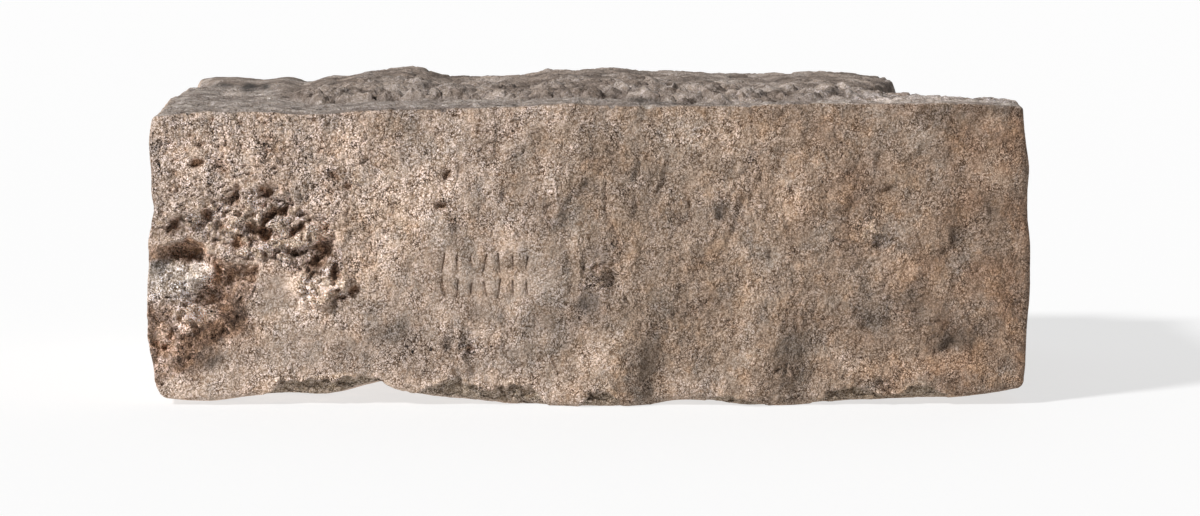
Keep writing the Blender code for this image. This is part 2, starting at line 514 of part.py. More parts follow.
def stroke_cutter():
    """All the strokes as wedges, each standing through the front, joined as one cutter."""
    points, faces = [], []
    reach = 4.0
    for row in range(STROKE_ROWS):
        for place in range(STROKES_IN_ROW):
            number = row * STROKES_IN_ROW + place
            lean = 0.16 * np.sin(2.3 * number + 0.8)
            length = STROKE_LENGTH * (0.80 + 0.20 * np.cos(1.7 * number))
            middle_x = (SIGN_PLACE[0] - 0.5) * WIDTH + (place - (STROKES_IN_ROW - 1) / 2) * STROKE_PITCH
            middle_z = SIGN_PLACE[1] * HEIGHT + ((STROKE_ROWS - 1) / 2 - row) * ROW_PITCH
            along = np.array([np.sin(lean), 0.0, np.cos(lean)])
            side = np.array([np.cos(lean), 0.0, -np.sin(lean)])
            middle = np.array([middle_x, -DEPTH / 2, middle_z])
            outward = np.array([0.0, -STROKE_DEPTH * (reach - 1.0), 0.0])
            inward = np.array([0.0, STROKE_DEPTH, 0.0])
            first = len(points)
            for end in (-0.5, 0.5):
                tip = middle + end * length * along
                points.append(tip + inward - 0.1 * end * length * along)
                points.append(tip + outward - 0.5 * reach * STROKE_WIDTH * side)
                points.append(tip + outward + 0.5 * reach * STROKE_WIDTH * side)
            loops = [(0, 2, 1), (3, 4, 5), (0, 1, 4, 3), (1, 2, 5, 4), (2, 0, 3, 5)]
            faces += [[first + i for i in loop] for loop in loops]
    cutter = add_object("stroke_cutter", [tuple(p) for p in points], faces)
    cutter.hide_render = True
    cutter.display_type = "WIRE"
    return cutter


def centred(block):
    """Bakes the modifiers, sets the origin in the middle under the block, and makes the underside flat."""
    evaluated = block.evaluated_get(bpy.context.evaluated_depsgraph_get())
    mesh = bpy.data.meshes.new_from_object(evaluated)
    block.modifiers.clear()
    block.data = mesh
    corners = np.array([vertex.co for vertex in mesh.vertices])
    low, high = corners.min(axis=0), corners.max(axis=0)
    shift = Vector((-(low[0] + high[0]) / 2, -(low[1] + high[1]) / 2, -low[2]))
    for vertex in mesh.vertices:
        vertex.co += shift
        if vertex.co.z < FLAT_WITHIN:
            vertex.co.z = 0.0


def main():
    for old in list(bpy.data.objects):
        bpy.data.objects.remove(old)
    block = cast_block()
    cutter = stroke_cutter()
    cut = block.modifiers.new("scratched_strokes", "BOOLEAN")
    cut.operation = "DIFFERENCE"
    cut.solver = "EXACT"
    cut.object = cutter
    centred(block)
    bpy.data.objects.remove(cutter)
    block.data.materials.clear()
    block.data.materials.append(lead_material())
    block.data.shade_smooth()
    block.data.set_sharp_from_angle(angle=np.radians(35.0))


main()
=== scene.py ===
"""Looks of the lead tablet: one cast block of lead under a dull, earth-coloured crust.

The block's surface is a lattice bent to shape by arrays: each function takes places and gives a height
or a mask there. Lengths are millimetres of the real block until the mesh is made. The front is measured
from its middle (x) and from the underside (z), the top from the front edge (y).
"""

import bpy
import numpy as np
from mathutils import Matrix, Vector


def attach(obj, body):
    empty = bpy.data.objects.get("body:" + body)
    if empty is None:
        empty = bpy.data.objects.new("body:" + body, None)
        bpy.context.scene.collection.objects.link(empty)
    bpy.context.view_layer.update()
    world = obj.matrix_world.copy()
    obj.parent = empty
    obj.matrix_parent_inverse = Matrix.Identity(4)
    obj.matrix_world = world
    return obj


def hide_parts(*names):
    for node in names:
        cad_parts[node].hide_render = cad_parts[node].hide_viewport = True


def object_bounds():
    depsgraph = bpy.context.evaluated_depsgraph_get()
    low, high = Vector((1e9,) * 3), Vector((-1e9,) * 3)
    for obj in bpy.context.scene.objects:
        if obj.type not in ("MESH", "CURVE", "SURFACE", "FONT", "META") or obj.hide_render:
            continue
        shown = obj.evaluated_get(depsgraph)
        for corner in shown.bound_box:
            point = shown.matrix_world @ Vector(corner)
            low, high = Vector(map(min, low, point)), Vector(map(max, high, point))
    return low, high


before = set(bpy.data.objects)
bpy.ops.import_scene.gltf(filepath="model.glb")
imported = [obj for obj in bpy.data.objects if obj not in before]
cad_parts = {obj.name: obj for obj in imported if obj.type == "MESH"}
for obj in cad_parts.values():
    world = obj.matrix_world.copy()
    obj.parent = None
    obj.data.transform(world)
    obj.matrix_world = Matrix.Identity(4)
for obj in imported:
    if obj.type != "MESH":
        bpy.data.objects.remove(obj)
cad_low, cad_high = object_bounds()

# The block's plain sizes in millimetres, and the length of one millimetre in the frame
WIDTH, DEPTH, HEIGHT = 369.4, 250.0, 125.4
MM = (cad_high.x - cad_low.x) / WIDTH

# Pixels of the photograph to a millimetre on the front, and the pixel at its lower middle
PIXELS_PER_MM = 2.392
PHOTO_MIDDLE, PHOTO_BASE = 588.0, 405.0
# Where the photograph was taken from, in millimetres from the middle of the front's lower edge
CAMERA_DISTANCE, CAMERA_HEIGHT, CAMERA_ASIDE = 1800.0, 225.8, 2.5

# Radii of the worn edges
UPRIGHT_FRONT_RADIUS = 3.2
UPRIGHT_BACK_RADIUS = 9.0
TOP_FRONT_RADIUS = 1.2
TOP_BACK_RADIUS = 5.0
TOP_END_RADIUS = 2.0
BOTTOM_RADIUS = 4.0

# Depths, heights and sizes of the relief
RECESS_DEPTH = 11.5
LEAD_ISLAND_RISE = 6.0
BAND_DEPTH = 2.2
NODULE_HEIGHT, NODULE_SIZE = 5.0, 10.5
LIP_DEPTH = 3.2
SWELL_HEIGHT, SWELL_SIZE = 1.6, 55.0
CRUST_ROUGHNESS, CRUST_GRAIN = 5.5, 17.0
SPLINTER_SIZE, LIP_SPLINTER_SIZE, SHELL_SIZE = 4.8, 4.0, 15.0
FLAKE_HEIGHT, FLAKE_LEVELS = 0.42, (-0.35, 0.08, 0.5)
CRACK_DEPTH, CRACK_HALF_WIDTH, HAIR_CRACK_DEPTH = 1.1, 0.75, 0.8
CORNER_DROP = 17.0
UNDERSIDE_SLOPE = 0.11
WEAR_SHARE, WEAR_SIZE = 0.45, 28.0
END_WAVE, END_WAVE_SIZE = 1.2, 34.0
BACK_WAVE, BACK_WAVE_SIZE = 1.8, 45.0
# Where the broken corner begins, as shares of the width and of the depth
CORNER_START, CORNER_FRONT = 0.877, 0.14

# The scratched sign: two rows of plain strokes that spell nothing
STROKE_ROWS, STROKES_IN_ROW = 2, 7
STROKE_LENGTH, STROKE_WIDTH, STROKE_DEPTH = 8.0, 1.0, 1.0
STROKE_PITCH, ROW_PITCH = 5.8, 10.8
SIGN_PLACE = (0.384, 0.435)
SIGN_HALF_LONG, SIGN_HALF_TALL = 0.5 * STROKES_IN_ROW * STROKE_PITCH, 0.5 * STROKE_ROWS * ROW_PITCH
# How far the even patch that holds the strokes fades out beyond them
SIGN_MARGIN = 12.0

# Gaps of the lattice, those along the depth in pairs of a place and its share of the fine gap, and how
# many triangles are kept
FINE_GAP = 0.5
SIGN_GAP, GAP_RAMP = 0.65 * FINE_GAP, 6
DEPTH_GAPS = [(0, 0.7), (4, 0.9), (20, 2.4), (DEPTH, 3.6)]
TRIANGLES_KEPT = 195_000

# Sizes of the patterns in the finish. The real crust's sand is about half as wide as these grains, which
# are drawn just wide enough to show.
DRIFT_SIZE, PATCH_SIZE, MOTTLE_SIZE, CRUMB_SIZE, SAND_SIZE = 60.0, 17.0, 4.5, 2.0, 0.72
WOBBLE_SIZE, WOBBLE_REACH = 2.0, 1.6
PINK_SIZE, GREY_SIZE, RUST_SIZE, STREAK_SIZE, GRITTY_SIZE = 9.0, 14.0, 20.0, 3.2, 8.0
# How deep the pits, crumbs and sand of the finish look
PITTED_DEPTH, CRUMBLED_DEPTH, SANDY_DEPTH = 2.8, 2.4, 0.75
# The crust's colour along the width, from pale at the left to brown at the right
# Part of this run is painted light that fades away from the left
CRUST_AND_FALLOFF_RUN = [(0.0, "#CAB4A2"), (0.28, "#B49F8E"), (0.55, "#988472"), (0.8, "#907B69"), (1.0, "#836B58")]

# The daylight's strength, spread and direction, and the room's light in front of the block and behind it
KEY_STRENGTH, KEY_SPREAD, KEY_DIRECTION = 3.7, 9.0, (0.62, 0.55, -0.58)
ROOM_IN_FRONT, ROOM_BEHIND = 0.10, 0.7
# The table's grey, its glow, and its half width in metres
TABLE_GREY, TABLE_GLOW, TABLE_REACH = 0.32, 0.66, 9.0
WHITE = (1.0, 1.0, 1.0, 1.0)
# The camera's lens and sensor, and where on the front it aims
LENS, SENSOR_WIDTH = 130.6, 36.0
AIM_ASIDE, AIM_HEIGHT = 5.0, 62.5
# How far behind the foremost swell the plane lies that the camera's distance is measured from
PLANE_SETBACK = 1.2

# Height of the front's top edge, as a share of HEIGHT, along the width
TOP_EDGE = [(0.0, 0.964), (0.03, 0.974), (0.10, 0.985), (0.18, 0.975), (0.25, 0.986), (0.33, 0.993),
            (0.42, 0.999), (0.48, 1.009), (0.54, 1.002), (0.66, 1.002), (0.75, 1.009), (0.86, 1.009),
            (0.94, 1.007), (0.98, 1.001), (1.0, 0.995)]
# Height of the front's bottom edge over the underside, as a share of HEIGHT
BOTTOM_EDGE = [
    (0.0, 0.026), (0.03, 0.018), (0.06, 0.018), (0.10, 0.032), (0.14, 0.041), (0.20, 0.043),
    (0.23, 0.068), (0.252, 0.080), (0.27, 0.059), (0.31, 0.034), (0.36, 0.020), (0.41, 0.003),
    (0.48, 0.0), (0.56, 0.0), (0.60, 0.020), (0.64, 0.016), (0.69, 0.002), (0.73, 0.003), (0.80, 0.018),
    (0.87, 0.024), (0.93, 0.031), (0.97, 0.046), (1.0, 0.060),
]
# How far each end lies inside the full width, by height, as a share of WIDTH
LEFT_END = [
    (0.0, 0.018), (0.04, 0.0115), (0.10, 0.0078), (0.15, 0.0034), (0.20, 0.0010), (0.28, 0.0002),
    (0.38, 0.0002), (0.48, 0.0022), (0.57, 0.0034), (0.62, 0.0062), (0.67, 0.0100), (0.72, 0.0078),
    (0.80, 0.0072), (0.87, 0.0052), (0.92, 0.0050), (1.0, 0.0090),
]
RIGHT_END = [(0.0, 0.0075), (0.06, 0.0050), (0.14, 0.0040), (0.22, 0.0030), (0.32, 0.0002), (0.43, 0.0),
             (0.52, 0.0004), (0.60, 0.0030), (0.70, 0.0034), (0.79, 0.0020), (0.84, 0.0044),
             (0.92, 0.0078), (1.0, 0.0098)]
# Height of the crust's far crest, as a share of HEIGHT, along the width
CREST = [(0.0, 0.994), (0.01, 1.000), (0.059, 1.000), (0.089, 0.996), (0.112, 1.004), (0.129, 0.994),
         (0.138, 0.985), (0.151, 0.992), (0.165, 1.002), (0.191, 1.010), (0.21, 1.024), (0.228, 1.030),
         (0.253, 1.030), (0.292, 1.031), (0.306, 1.014), (0.322, 1.006), (0.345, 1.006), (0.356, 1.004),
         (0.391, 1.007), (0.433, 1.014), (0.448, 1.024), (0.483, 1.029), (0.513, 1.032), (0.545, 1.032),
         (0.563, 1.028), (0.607, 1.020), (0.651, 1.018), (0.667, 1.014), (0.717, 1.010), (0.765, 1.018),
         (0.783, 1.022), (0.819, 1.017), (0.837, 1.014), (0.873, 1.006), (1.0, 0.989)]
# How far back the smooth cast strip of the top reaches, and how far behind it the crust is at its full
# height, both as shares of DEPTH, along the width
STRIP = [
    (0.0, 0.86), (0.015, 0.83), (0.04, 0.75), (0.08, 0.68), (0.11, 0.60), (0.13, 0.40), (0.16, 0.28),
    (0.25, 0.22), (0.33, 0.18), (0.42, 0.14), (0.50, 0.10), (0.56, 0.06), (0.65, 0.05), (0.80, 0.05),
    (1.0, 0.10),
]
CRUST_RISE = [(0.0, 0.12), (0.09, 0.14), (0.13, 0.45), (0.20, 0.62), (1.0, 0.70)]
# Height of the broken lip along the bottom of the front, as a share of HEIGHT
LIP = [(0.0, 0.0), (0.12, 0.0), (0.14, 0.055), (0.18, 0.085), (0.23, 0.098), (0.26, 0.095),
       (0.28, 0.062), (0.31, 0.050), (0.33, 0.078), (0.36, 0.084), (0.38, 0.052), (0.415, 0.066),
       (0.44, 0.050), (0.46, 0.0), (0.49, 0.0), (0.50, 0.038), (0.53, 0.036), (0.54, 0.0),
       (0.62, 0.0), (0.65, 0.030), (0.68, 0.022), (0.70, 0.0), (0.75, 0.0), (0.77, 0.052),
       (0.82, 0.050), (0.84, 0.034), (0.87, 0.056), (0.90, 0.046), (0.94, 0.0), (1.0, 0.0)]

# The eroded hollow at the lower left, the lead that stands bare in it, and the rough band above it
RECESS = [(-0.03, 0.557), (0.02, 0.550), (0.044, 0.557), (0.066, 0.540), (0.085, 0.500), (0.105, 0.477),
          (0.130, 0.473), (0.130, 0.400), (0.1165, 0.347), (0.122, 0.283), (0.1165, 0.243),
          (0.085, 0.223), (0.063, 0.183), (0.049, 0.117), (0.020, 0.057), (-0.03, 0.043)]
LEAD_ISLAND = [
    (-0.03, 0.49), (0.03, 0.50), (0.065, 0.485), (0.082, 0.455), (0.072, 0.385), (0.060, 0.33),
    (0.066, 0.27), (0.052, 0.20), (0.034, 0.13), (0.012, 0.07), (-0.03, 0.06),
]
ROUGH_BAND = [
    (-0.03, 0.610), (0.026, 0.643), (0.055, 0.667), (0.08, 0.70), (0.11, 0.743), (0.13, 0.740),
    (0.157, 0.717), (0.175, 0.683), (0.20, 0.657), (0.218, 0.620), (0.224, 0.565), (0.232, 0.517),
    (0.236, 0.417), (0.233, 0.350), (0.213, 0.325), (0.187, 0.320), (0.170, 0.340), (0.165, 0.390),
    (0.169, 0.443), (0.155, 0.477), (0.115, 0.480), (0.096, 0.490), (0.066, 0.540), (0.044, 0.557),
    (0.02, 0.550), (-0.03, 0.557),
]

# Pits: place on the front, as shares of it, radius and depth
PITS = [
    (0.061, 0.811, 3.0, 3.6), (0.086, 0.794, 5.5, 2.0), (0.028, 0.867, 3.5, 1.2),
    (0.103, 0.717, 2.8, 2.2), (0.141, 0.712, 2.4, 3.6), (0.133, 0.722, 2.2, 2.6),
    (0.122, 0.747, 2.2, 1.6), (0.157, 0.643, 2.6, 4.6), (0.148, 0.650, 2.4, 3.2),
    (0.136, 0.578, 4.2, 5.6), (0.120, 0.590, 4.5, 2.4), (0.168, 0.570, 2.6, 3.0),
    (0.181, 0.586, 2.6, 3.4), (0.106, 0.543, 3.4, 3.4), (0.038, 0.523, 3.6, 2.0),
    (0.050, 0.540, 4.0, 3.0), (0.061, 0.522, 4.0, 3.2), (0.053, 0.503, 3.4, 2.4),
    (0.215, 0.443, 3.4, 4.2), (0.198, 0.473, 3.0, 3.4), (0.234, 0.380, 2.6, 3.0),
    (0.216, 0.773, 3.2, 2.2), (0.2276, 0.743, 2.6, 1.6), (0.029, 0.417, 2.2, 2.0),
    (0.0385, 0.293, 2.2, 2.0), (0.060, 0.250, 1.8, 2.0), (0.0124, 0.193, 2.4, 2.2),
    (0.022, 0.173, 2.4, 2.4), (0.339, 0.773, 2.5, 2.4), (0.338, 0.667, 3.2, 1.8),
    (0.366, 0.200, 2.6, 2.2), (0.360, 0.783, 2.2, 1.0), (0.070, 0.640, 3.6, 1.8),
    (0.033, 0.600, 3.0, 1.6), (0.087, 0.600, 2.6, 2.4), (0.200, 0.520, 3.0, 2.4),
]
# Large forms of the eroded part: pixel of the photograph, half width and half height in pixels, height
FORMS = [
    (322, 283, 29, 20, 4.4), (189, 212, 19, 15, 2.6), (248, 212, 20, 16, 2.2), (322, 214, 17, 22, 1.8),
    (268, 250, 18, 9, 1.4), (193, 318, 22, 15, 2.6), (184, 281, 28, 20, 1.2), (288, 196, 14, 9, 1.6),
]
# Even, finer-grained parts: pixel of the photograph, half width and half height in pixels, strength
EVEN_PATCHES = [
    (275, 292, 16, 30, 0.9), (305, 348, 60, 24, 0.5), (222, 362, 32, 22, 0.5), (490, 285, 60, 30, 0.3),
]

# Lumps: place on the front, as shares of it, radius and height
LUMPS = [(0.510, 0.450, 5.5, 3.0), (0.818, 0.575, 8.5, 1.6), (0.465, 0.640, 6.0, 1.4),
         (0.722, 0.108, 5.0, 1.4), (0.850, 0.400, 6.0, 1.2)]
# Soft folds: crest, rise to its left, fall to its right, lowest and highest place, lean, height
FOLDS = [(0.514, 0.090, 0.056, -0.30, 0.34, 0.14, 6.4), (0.687, 0.060, 0.055, -0.30, 0.36, 0.08, 5.0),
         (0.482, 0.080, 0.036, 0.74, 1.30, 0.00, 1.6), (0.610, 0.060, 0.080, 0.45, 0.90, 0.05, 1.4),
         (0.340, 0.060, 0.030, 0.05, 0.34, 0.00, 1.6), (0.880, 0.090, 0.070, 0.15, 0.60, 0.04, 1.5)]

# Dents of the front: pixel of the photograph, half length and half width, lean to the right in degrees,
# and depth
DENTS = [
    (462, 177, 1.6, 1.3, 0, 0.8), (444, 206, 3.4, 2.0, 55, 2.0), (455, 232, 7.5, 2.2, 8, 1.5),
    (488, 174, 3.2, 1.8, 0, 1.0), (480, 207, 2.2, 1.7, 0, 0.9), (503, 198, 3.4, 1.1, 0, 1.5),
    (474, 186, 2.0, 1.6, 0, 0.7), (426, 232, 4.2, 3.4, 0, 0.9), (412, 262, 3.2, 2.0, 0, 0.6),
    (420, 165, 4.2, 3.2, 0, 0.6), (448, 345, 5.2, 2.2, 0, 1.3), (473, 310, 5.2, 3.6, 0, 0.9),
    (492, 335, 3.0, 2.0, 20, 0.8), (584, 190, 7.5, 2.6, 50, 1.4), (548, 203, 5.2, 2.4, 0, 1.1),
    (598, 168, 3.2, 2.0, 10, 1.0), (612, 150, 3.2, 2.6, 0, 0.9), (640, 168, 3.2, 2.4, 0, 0.9),
    (611, 277, 7.0, 2.4, 12, 1.3), (588, 298, 6.5, 3.0, 40, 0.6), (722, 211, 3.8, 3.4, 0, 1.4),
    (738, 210, 9.0, 2.2, 15, 1.2), (733, 232, 6.0, 2.2, 25, 0.8), (770, 251, 3.6, 1.6, 15, 1.3),
    (786, 176, 3.2, 2.4, 30, 0.8), (843, 212, 8.5, 2.6, 58, 1.3), (887, 189, 5.2, 2.0, 50, 1.4),
    (877, 239, 3.0, 2.6, 0, 1.6), (840, 240, 3.2, 1.4, 90, 1.0), (959, 234, 4.4, 3.6, 0, 1.3),
    (945, 250, 2.8, 2.0, 30, 0.8), (989, 203, 6.0, 2.8, 10, 0.9), (946, 345, 6.5, 2.8, 60, 1.1),
    (980, 328, 2.4, 2.2, 0, 1.1), (777, 369, 3.4, 1.6, 60, 1.7), (787, 364, 2.0, 1.4, 0, 1.0),
    (882, 384, 2.8, 2.6, 0, 1.2), (912, 376, 2.0, 1.6, 0, 0.9), (673, 312, 2.6, 2.2, 0, 1.2),
    (690, 203, 2.8, 1.2, 0, 1.0), (524, 152, 2.6, 1.2, 60, 1.2), (600, 336, 3.0, 1.6, 50, 0.9),
]
# Thin ridges of the front: pixels of the photograph along them, half width, height
RIDGES = [
    ([(603, 178), (601, 205), (604, 226), (612, 248)], 1.5, 0.9), ([(664, 156), (655, 194)], 1.5, 0.8),
    ([(554, 162), (557, 206)], 1.5, 0.7), ([(516, 230), (518, 262), (516, 286), (520, 314)], 3.2, 1.3),
    ([(683, 234), (694, 264)], 1.6, 1.0), ([(765, 163), (771, 202)], 2.4, 0.9),
    ([(459, 326), (457, 346), (466, 368)], 2.6, 1.3), ([(755, 212), (772, 232), (803, 234)], 2.2, 0.8),
    ([(945, 226), (947, 244)], 2.2, 0.9), ([(975, 264), (984, 242)], 1.6, 0.5),
    ([(698, 152), (708, 142), (724, 142)], 1.8, 0.8), ([(728, 190), (736, 175), (742, 163)], 1.8, 0.7),
    ([(579, 262), (578, 284)], 1.8, 1.0), ([(632, 160), (628, 180), (634, 205)], 1.8, 0.6),
    ([(645, 205), (648, 235)], 1.6, 0.6), ([(880, 276), (886, 298)], 1.8, 0.8),
]

# Cracks and the edges of flakes, as short lines through pixels of the photograph
CRACKS = [
    [(385, 146), (400, 137)], [(404, 133), (412, 130), (441, 131)], [(438, 130), (436, 141)],
    [(478, 132), (489, 130)], [(488, 143), (502, 137), (519, 129)], [(506, 152), (519, 147)],
    [(486, 197), (484, 208)], [(496, 213), (492, 225), (491, 240), (495, 249)],
    [(392, 213), (396, 200)], [(606, 184), (605, 207), (614, 228), (621, 250)],
    [(688, 198), (690, 227)], [(716, 137), (734, 129), (746, 121)],
    [(802, 325), (829, 316), (841, 302)], [(888, 309), (913, 310), (918, 314)],
    [(793, 285), (797, 330)], [(503, 305), (505, 314), (511, 323)], [(552, 352), (558, 372)],
    [(523, 329), (531, 340)], [(390, 275), (391, 294)],
    [(356, 164), (366, 161), (373, 155), (371, 149)], [(430, 262), (437, 249)],
    [(512, 108), (511, 114)], [(750, 108), (752, 124)], [(778, 116), (786, 110)],
    [(845, 178), (850, 184)], [(832, 228), (832, 240), (848, 240)], [(752, 245), (760, 262)],
    [(462, 235), (467, 250)],
]
# Blue-grey stains: pixel of the photograph, half width and half height in pixels, strength
STAINS = [
    (690, 212, 14, 12, 0.6), (724, 210, 12, 12, 0.9), (746, 241, 12, 9, 0.6), (881, 238, 10, 10, 0.9),
    (960, 234, 12, 11, 0.9), (470, 345, 8, 8, 0.6), (640, 205, 14, 10, 0.5), (548, 268, 12, 10, 0.5),
    (790, 345, 20, 16, 0.6), (440, 240, 12, 9, 0.5), (497, 318, 12, 9, 0.5), (992, 322, 10, 9, 0.6),
    (940, 340, 14, 9, 0.5), (868, 262, 10, 8, 0.5), (410, 330, 34, 20, 0.6), (588, 300, 14, 12, 0.7),
    (560, 300, 30, 14, 0.4), (525, 250, 10, 16, 0.5), (300, 350, 20, 10, 0.4), (355, 295, 8, 8, 0.6),
]
# Darker and lighter parts of the front, in the same way; lighter ones have a strength below zero
# Some are the crust's own tone, others painted shade in hollows and shaded flanks and painted light on
# lit slopes
TONES = [
    (400, 345, 62, 34, 0.36), (330, 350, 60, 30, 0.2), (625, 165, 22, 40, 0.25),
    (485, 275, 50, 22, 0.1), (390, 215, 44, 60, -0.5), (240, 296, 20, 34, 0.35),
    (660, 285, 60, 40, 0.12), (835, 285, 60, 40, 0.1), (270, 215, 80, 36, -0.35),
    (196, 280, 26, 22, -0.3), (226, 280, 24, 16, -0.5), (236, 314, 13, 22, 0.9),
    (214, 345, 16, 20, 0.9), (198, 362, 26, 12, 1.0), (163, 345, 12, 28, -1.1), (158, 268, 12, 14, 1.0),
    (214, 274, 16, 13, -0.8), (328, 292, 18, 12, -0.9), (330, 236, 18, 12, -0.9),
    (362, 270, 22, 20, -0.35), (370, 134, 34, 26, -0.35), (695, 128, 80, 24, -0.5),
    (790, 172, 40, 40, -0.35), (452, 150, 24, 16, -0.25), (1002, 122, 26, 14, -0.9),
    (960, 118, 30, 12, -0.3), (520, 306, 80, 24, 0.28), (594, 308, 36, 26, 0.35),
    (446, 300, 24, 12, 0.3), (550, 215, 44, 22, 0.25), (614, 337, 18, 11, -0.5),
    (594, 360, 20, 13, -0.5), (676, 182, 30, 18, 0.25), (892, 186, 30, 18, 0.2),
    (895, 304, 54, 22, 0.3), (892, 335, 18, 14, 0.25), (726, 305, 18, 14, 0.3), (955, 235, 30, 34, 0.2),
    (920, 368, 60, 13, -0.6), (850, 368, 18, 12, -0.3), (570, 332, 18, 20, 0.4),
    (175, 132, 34, 28, 0.38), (252, 150, 20, 16, -0.25), (214, 210, 30, 14, -0.3),
    (180, 214, 30, 12, -0.3), (610, 245, 26, 14, 0.3), (690, 222, 40, 18, 0.2), (510, 355, 50, 18, 0.2),
    (374, 305, 30, 8, 0.25), (985, 116, 85, 20, 0.6), (1018, 280, 22, 125, -0.06),
    (962, 335, 24, 16, 0.3), (158, 366, 12, 36, 0.35), (300, 350, 50, 20, 0.2), (186, 212, 14, 12, 0.2),
    (193, 316, 20, 15, -0.8), (322, 285, 30, 20, -0.45), (250, 250, 60, 50, -0.1),
    (266, 231, 8, 6, 0.8), (952, 335, 30, 24, 0.45), (990, 205, 16, 18, 0.4), (455, 232, 9, 20, 0.4),
    (588, 118, 22, 18, 0.3), (588, 188, 18, 14, 0.35), (610, 278, 9, 18, 0.3), (722, 211, 10, 10, 0.3),
    (740, 210, 9, 24, 0.3), (838, 214, 22, 12, 0.3), (886, 190, 12, 9, 0.35), (959, 233, 11, 10, 0.25),
    (642, 368, 26, 34, 0.4), (793, 365, 28, 36, 0.5), (473, 310, 10, 14, 0.4), (427, 232, 9, 10, 0.3),
    (880, 239, 10, 8, 0.2), (150, 175, 16, 60, 0.3), (447, 344, 7, 16, 0.4), (585, 300, 14, 12, 0.35),
    (672, 312, 8, 8, 0.4), (512, 282, 20, 34, -0.4), (275, 292, 20, 26, 0.15),
    (420, 200, 46, 60, -0.55), (372, 240, 36, 110, -0.25), (360, 140, 24, 16, -0.3),
    (250, 140, 110, 34, -0.3), (330, 200, 40, 50, -0.2), (250, 230, 80, 50, -0.15),
    (185, 285, 30, 60, -0.2), (890, 262, 30, 16, -0.3), (790, 210, 30, 24, -0.25),
    (605, 355, 26, 26, -0.3), (750, 345, 9, 34, -0.3), (460, 345, 8, 20, -0.4),
    (300, 308, 36, 12, -0.2), (538, 165, 12, 14, -0.3), (960, 198, 14, 7, -0.25),
    (735, 290, 40, 40, -0.2), (710, 190, 50, 50, -0.15), (990, 270, 14, 14, -0.2),
    (565, 238, 22, 14, -0.2), (690, 245, 8, 18, -0.3), (958, 358, 24, 12, -0.6),
    (160, 272, 16, 20, 0.3), (195, 258, 16, 12, -0.15), (310, 297, 14, 14, -0.6),
    (555, 325, 20, 18, 0.5), (597, 260, 18, 20, 0.4), (915, 300, 22, 20, 0.5), (875, 325, 18, 14, 0.45),
    (238, 264, 14, 12, 0.25), (275, 202, 16, 14, 0.35), (720, 142, 52, 18, -0.4),
    (795, 200, 20, 18, -0.6), (1000, 172, 22, 18, -0.35), (235, 356, 55, 10, 0.3),
    (272, 294, 16, 22, 0.35), (455, 205, 32, 18, 0.3), (315, 234, 16, 14, -0.4),
    (315, 330, 22, 22, -0.35), (755, 354, 18, 14, -0.35), (835, 354, 18, 14, -0.35),
    (715, 294, 16, 16, 0.35), (515, 262, 16, 14, 0.35),
]
# Darker and lighter parts of the top, in the same way
# Many are painted shadow under the crest's overhangs, and painted light on the ledges below them
TOP_TONES = [
    (221, 84, 13, 2.0, 1.2), (247, 87, 7, 4.5, 1.3), (264, 86, 5, 3.5, 1.1), (232, 93, 18, 2.2, -0.9),
    (262, 94, 10, 3.0, -0.5), (310, 92, 16, 3.0, -0.2), (340, 92, 10, 4.0, 0.3),
    (322, 86, 8, 3.0, -0.3), (378, 80, 12, 5.0, 0.35), (402, 81, 8, 4.0, 0.4), (347, 91, 6, 2.5, 0.5),
    (424, 84, 14, 5.0, 0.25), (374, 90, 10, 4.0, 0.35), (560, 82, 10, 3.0, 0.4), (548, 93, 9, 2.0, 0.6),
    (541, 91, 8, 2.0, -0.5), (640, 99, 16, 2.5, 0.8), (659, 101, 8, 2.0, 0.8),
    (615, 83, 16, 4.0, -0.25), (690, 88, 12, 4.0, -0.2), (470, 88, 14, 6.0, 0.2),
    (590, 74, 30, 5.0, 0.25), (735, 95, 7, 4.0, 0.6), (762, 93, 8, 3.0, 0.5), (790, 88, 6, 4.0, 0.5),
    (835, 90, 9, 3.0, 0.7), (866, 88, 12, 3.0, 0.3), (872, 93, 12, 2.5, -0.4),
    (860, 80, 14, 4.0, -0.25), (700, 78, 40, 3.0, 0.2), (800, 75, 30, 3.0, 0.2),
    (930, 99, 95, 5.0, -0.6),
]
# Small rough patches: pixel of the photograph, half width and half height in pixels, strength
ROUGH_PATCHES = [(868, 232, 22, 20, 0.7), (558, 213, 15, 11, 0.9), (596, 272, 20, 18, 1.0),
                 (888, 290, 14, 16, 0.6), (782, 370, 16, 9, 0.8), (750, 165, 12, 10, 0.5),
                 (905, 315, 16, 8, 0.5), (352, 178, 14, 12, 0.7), (470, 345, 12, 12, 0.7),
                 (230, 160, 24, 16, 0.5), (180, 150, 22, 26, 0.5), (885, 385, 24, 12, 0.6),
                 (443, 205, 10, 9, 0.6), (345, 268, 22, 26, 0.4), (690, 130, 30, 14, 0.4),
                 (405, 138, 30, 10, 0.5), (905, 370, 12, 10, 0.6)]


def smooth(t):
    """A soft step: 0 below 0, 1 above 1, and an S-shaped rise between them."""
    t = np.clip(t, 0.0, 1.0)
    return t * t * (3.0 - 2.0 * t)


def step(t, at, over):
    """A soft step from 0 at a place to 1 at over beyond it, or before it if over is negative."""
    return smooth((t - at) / over)


def curve(points, t):
    """A smooth line through listed points, with each point's slope taken from its two neighbours."""
    at, value = np.array(points).T
    slope = np.gradient(value, at)
    i = np.clip(np.searchsorted(at, t, side="right") - 1, 0, len(at) - 2)
    span = at[i + 1] - at[i]
    f = np.clip((t - at[i]) / span, 0.0, 1.0)
    rise = f * f * (3.0 - 2.0 * f)
    ease_in = f * (1.0 - f) ** 2 * slope[i] * span
    ease_out = f * f * (1.0 - f) * slope[i + 1] * span
    return value[i] * (1.0 - rise) + value[i + 1] * rise + ease_in - ease_out


